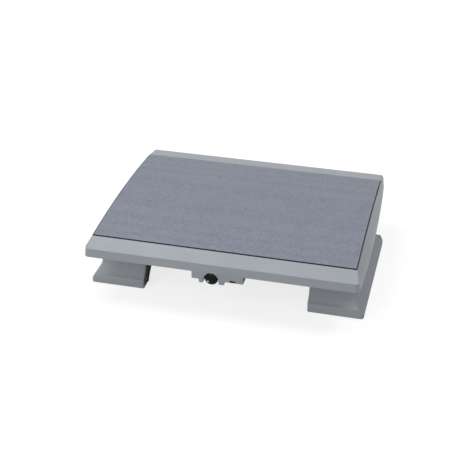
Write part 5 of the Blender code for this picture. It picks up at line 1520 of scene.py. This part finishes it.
@dataclass
class Hardware:
    """Screws, tubes, pads and bushes that are turned round an axis, and the small pieces refined from their solids."""

    pitch: float = 0.0010
    shaft: float = 0.0018
    head_depth: float = 0.0022
    tube_lip: float = 0.0004
    lock_radius: float = 0.0040
    lock_pitch: float = 0.00125
    lock_chamfer: float = 0.0008
    clip_groove: Point = (0.0010, 0.0015)

    def threaded(self, radius: float, start: float, end: float, pitch: float) -> list[Point]:
        """A threaded length of a section.

        Args:
            radius: outer radius of the thread.
            start: where it starts.
            end: where it ends.
            pitch: distance from crest to crest.

        Returns:
            Radius and place of each corner.
        """
        sign = 1 if end > start else -1
        points = []
        for turn in range(int(abs(end - start) / pitch)):
            place = start + sign * pitch * turn
            points += [(radius - pitch * 0.35, place), (radius, place + sign * pitch / 2)]
        return points

    def piece(
        self,
        node: str,
        axis: Axis,
        profile: Sequence[Point],
        coat: Coat,
        body: Body,
        closed: bool = False,
        steps: int = 56,
        smooth: float = 34.0,
    ) -> None:
        """A piece turned round its own centre line.

        Args:
            node: the piece's solid, which gives its centre line.
            axis: the axis it turns round.
            profile: radius and place along the axis of each corner.
            coat: its finish.
            body: its body.
            closed: whether it is a tube.
            steps: facets in a full turn.
            smooth: angle in degrees up to which edges look smooth.
        """
        bm = bmesh.new()
        centre = middle(node)
        turned(bm, axis, [centre[number] for number in axis.cross], profile, steps, closed)
        finished(f"{node}_turned", bm, coat, body, node, 0, smooth)

    def screw(self, node: str, axis: Axis, head_first: bool, coat: Coat, body: Body) -> None:
        """A pan head screw with a socket, sized from its solid.

        Args:
            node: the screw's solid.
            axis: the axis it lies along.
            head_first: whether its head is at the low end.
            coat: its finish.
            body: its body.
        """
        low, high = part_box(node)
        head = (high[axis.cross[0]] - low[axis.cross[0]]) / 2
        ends = (low[axis.value], high[axis.value])
        start, end, sign = (*ends, 1) if head_first else (*ends[::-1], -1)
        depth = sign * self.head_depth
        socket = [(0, start + sign * 0.0011), (0.0010, start + sign * 0.0010), (0.0013, start + sign * 0.0001)]
        dome = [(head * 0.55, start), (head * 0.85, start + depth * 0.2), (head, start + depth * 0.6)]
        neck = [(head, start + depth), (self.shaft, start + depth)]
        thread = self.threaded(self.shaft, start + depth * 1.2, end - sign * 0.0012, self.pitch)
        tip = [(self.shaft * 0.8, end - sign * 0.0010), (self.shaft * 0.3, end), (0, end)]
        self.piece(node, axis, socket + dome + neck + thread + tip, coat, body, steps=28, smooth=30)

    def refined(self, node: str, coat: Coat, body: Body, edge: float) -> None:
        """A piece that keeps its solid's shape, with merged faces and rounded edges.

        Args:
            node: the piece's solid.
            coat: its finish.
            body: its body.
            edge: width of its rounded edges.
        """
        bm = bmesh.new()
        bm.from_mesh(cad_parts[node].data)
        bmesh.ops.remove_doubles(bm, verts=bm.verts[:], dist=WELD)
        bmesh.ops.dissolve_limit(bm, angle_limit=math.radians(1), verts=bm.verts[:], edges=bm.edges[:])
        finished(f"{node}_refined", bm, coat, body, node, edge)

    def fasteners(self) -> None:
        """Builds every threaded screw but the lock's."""
        for side in Side:
            for number in range(1, 5):
                node = f"{side.word}_cheek_screw_{number}"
                self.screw(node, Axis.X, side is Side.RIGHT, Coat.DARK, Body.BASE)
        for name, count in (("saddle_screw", 4), ("housing_screw", 3), ("guide_screw", 2)):
            for number in range(1, count + 1):
                self.screw(f"{name}_{number}", Axis.Z, True, Coat.ZINC, Body.DECK)

    def pads(self) -> None:
        """Builds the foot pads, with rings in their soles, and the stop bumpers."""
        pad = [(0, 0.0006), (0.0022, 0.0006), (0.0026, 0), (0.0042, 0), (0.0046, 0.0006), (0.0060, 0.0006)]
        pad += [(0.0064, 0), (0.0080, 0), (0.0087, 0.0003), (0.0090, 0.0010), (0.0090, 0.0038), (0.0088, 0.0040)]
        pad += [(0.0030, 0.0040), (0.0030, 0.0082), (0.0024, 0.0088), (0, 0.0088)]
        for side in Side:
            for number in range(1, 5):
                self.piece(f"{side.word}_foot_pad_{number}", Axis.Z, pad, Coat.RUBBER, Body.BASE)
        low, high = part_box("stop_bumper_1")
        tip, top, end = low.z, low.z + 0.0060, high.z
        bumper = [(0, tip), (0.0052, tip), (0.0065, tip + 0.0003), (0.0070, tip + 0.0012), (0.0070, top)]
        bumper += [(0.0025, top), (0.0025, end - 0.0005), (0.0020, end), (0, end)]
        for number in range(1, 5):
            self.piece(f"stop_bumper_{number}", Axis.Z, bumper, Coat.RUBBER, Body.DECK)

    def tubes(self) -> None:
        """Builds the pivot tube and the stretcher tube, with chamfered ends."""
        for node, wall in (("pivot_tube", 0.0020), ("stretcher_tube", 0.0015)):
            low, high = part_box(node)
            radius, lip = (high.z - low.z) / 2, self.tube_lip
            bore = radius - wall
            profile = [(bore, low.x + lip), (bore + lip, low.x), (radius - lip, low.x), (radius, low.x + lip)]
            profile += [(radius, high.x - lip), (radius - lip, high.x), (bore + lip, high.x), (bore, high.x - lip)]
            self.piece(node, Axis.X, profile, Coat.TUBE, Body.BASE, True)

    def bushes(self) -> None:
        """Builds the flanged bushes that the tray turns on."""
        bush = [(BORE, 0.1104), (0.0124, 0.1104), (0.0128, 0.1108), (0.0128, 0.1347), (0.0164, 0.1347)]
        bush += [(0.0168, 0.1351), (0.0168, 0.1363), (0.0164, 0.1367), (BORE, 0.1367)]
        for side in Side:
            profile = [(radius, side.value * along) for radius, along in bush]
            self.piece(f"{side.word}_saddle_bush", Axis.X, profile, Coat.NATURAL, Body.DECK, True)

    def lock_screw(self) -> None:
        """Builds the screw that the knob turns, with its thread and the clip's groove."""
        low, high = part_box("lock_screw")
        clip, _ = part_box("screw_clip")
        radius, chamfer = self.lock_radius, self.lock_chamfer
        groove, edges = radius - self.clip_groove[0], (clip.y - GAP, clip.y + self.clip_groove[1])
        profile = [(0, low.y), (radius - chamfer, low.y), (radius, low.y + chamfer)]
        profile += self.threaded(radius, low.y + 0.0090, clip.y - 0.0020, self.lock_pitch)
        profile += [(radius, edges[0]), (groove, edges[0]), (groove, edges[1]), (radius, edges[1])]
        profile += [(radius, high.y - chamfer), (radius - chamfer, high.y), (0, high.y)]
        self.piece("lock_screw", Axis.Y, profile, Coat.ZINC, Body.KNOB, steps=40, smooth=30)

    def build(self) -> None:
        """Builds and dresses all the hardware."""
        self.fasteners()
        self.pads()
        self.tubes()
        self.bushes()
        self.lock_screw()
        for nodes, coat, body, edge in REFINED:
            for node in nodes:
                self.refined(node, coat, body, edge)


# The studio


@dataclass(frozen=True)
class Lamp:
    """A soft square lamp that points at the footrest."""

    name: str
    place: Spot
    size: float
    power: float

    def hang(self, aim: Vector) -> None:
        """Hangs the lamp and points it.

        Args:
            aim: the spot that it points at.
        """
        light = bpy.data.lights.new(self.name, "AREA")
        light.size = self.size
        light.energy = self.power
        lamp = linked(self.name, light)
        lamp.location = self.place
        lamp.rotation_euler = (aim - lamp.location).to_track_quat("-Z", "Y").to_euler()


@dataclass
class Studio:
    """A pale floor, soft lamps, a white surround and the camera of the photograph."""

    floor_size: float = 8.0
    aim: Spot = (0, 0, 0.06)
    lamps: tuple[Lamp, ...] = (
        Lamp("key", (-1.4, -1.9, 1.6), 1.4, 24),
        Lamp("fill", (-0.1, -3.3, 0.6), 1.6, 22),
        Lamp("top", (-1.5, 0.4, 3.2), 1.5, 38),
        Lamp("side", (1.6, 0.6, 3.0), 1.4, 40),
    )
    surround_light: float = 0.25
    lens: float = 83.28
    sensor: float = 36
    eye: Spot = (0.3750, -1.5772, 1.0214)
    right: Spot = (0.9706, 0.2407, 0)
    up: Spot = (-0.1242, 0.5009, 0.8565)
    back: Spot = (0.2062, -0.8313, 0.5161)

    def floor(self) -> None:
        """Lays the pale floor."""
        bm = bmesh.new()
        bmesh.ops.create_grid(bm, x_segments=2, y_segments=2, size=self.floor_size / 2)
        mesh = bpy.data.meshes.new("floor")
        bm.to_mesh(mesh)
        bm.free()
        finish = Backdrop("pale_floor", tone(160, 160, 160), tone(157, 157, 158), tone(142, 142, 142))
        mesh.materials.append(finish.material())
        linked("floor", mesh)

    def surround(self) -> None:
        """Makes the world white to the camera and to reflections, and softer as a lamp."""
        world = bpy.data.worlds.new("surround")
        graph = Graph(world)
        soft, white = [
            graph.add("ShaderNodeBackground", {}, {"Color": WHITE, "Strength": level}).outputs[0]
            for level in (self.surround_light, 1.0)
        ]
        mix = graph.add("ShaderNodeMixShader", {}, {0: graph.seen(), 1: soft, 2: white})
        graph.add("ShaderNodeOutputWorld", {}, {"Surface": mix.outputs[0]})
        bpy.context.scene.world = world

    def camera(self) -> None:
        """Sets the camera as the photograph was taken."""
        data = bpy.data.cameras.new("photo_camera")
        data.lens = self.lens
        data.sensor_width = self.sensor
        camera = linked("photo_camera", data)
        turn = Matrix((self.right, self.up, self.back)).transposed().to_4x4()
        camera.matrix_world = Matrix.Translation(self.eye) @ turn
        bpy.context.scene.camera = camera

    def build(self) -> None:
        """Sets up the whole studio."""
        self.floor()
        for lamp in self.lamps:
            lamp.hang(Vector(self.aim))
        self.surround()
        self.camera()
        bpy.context.scene.view_settings.view_transform = "Standard"


def main() -> None:
    """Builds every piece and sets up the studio."""
    logging.basicConfig(level=logging.INFO, format="%(message)s")
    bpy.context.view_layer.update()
    tray = Tray()
    tray.build()
    CarpetPad(tray).build()
    for side in Side:
        leg = Pedestal(side)
        leg.build()
        Cheek(leg).build()
    LockHousing().build()
    LockKnob().build()
    Hardware().build()
    Studio().build()


if __name__ == "__main__":
    main()
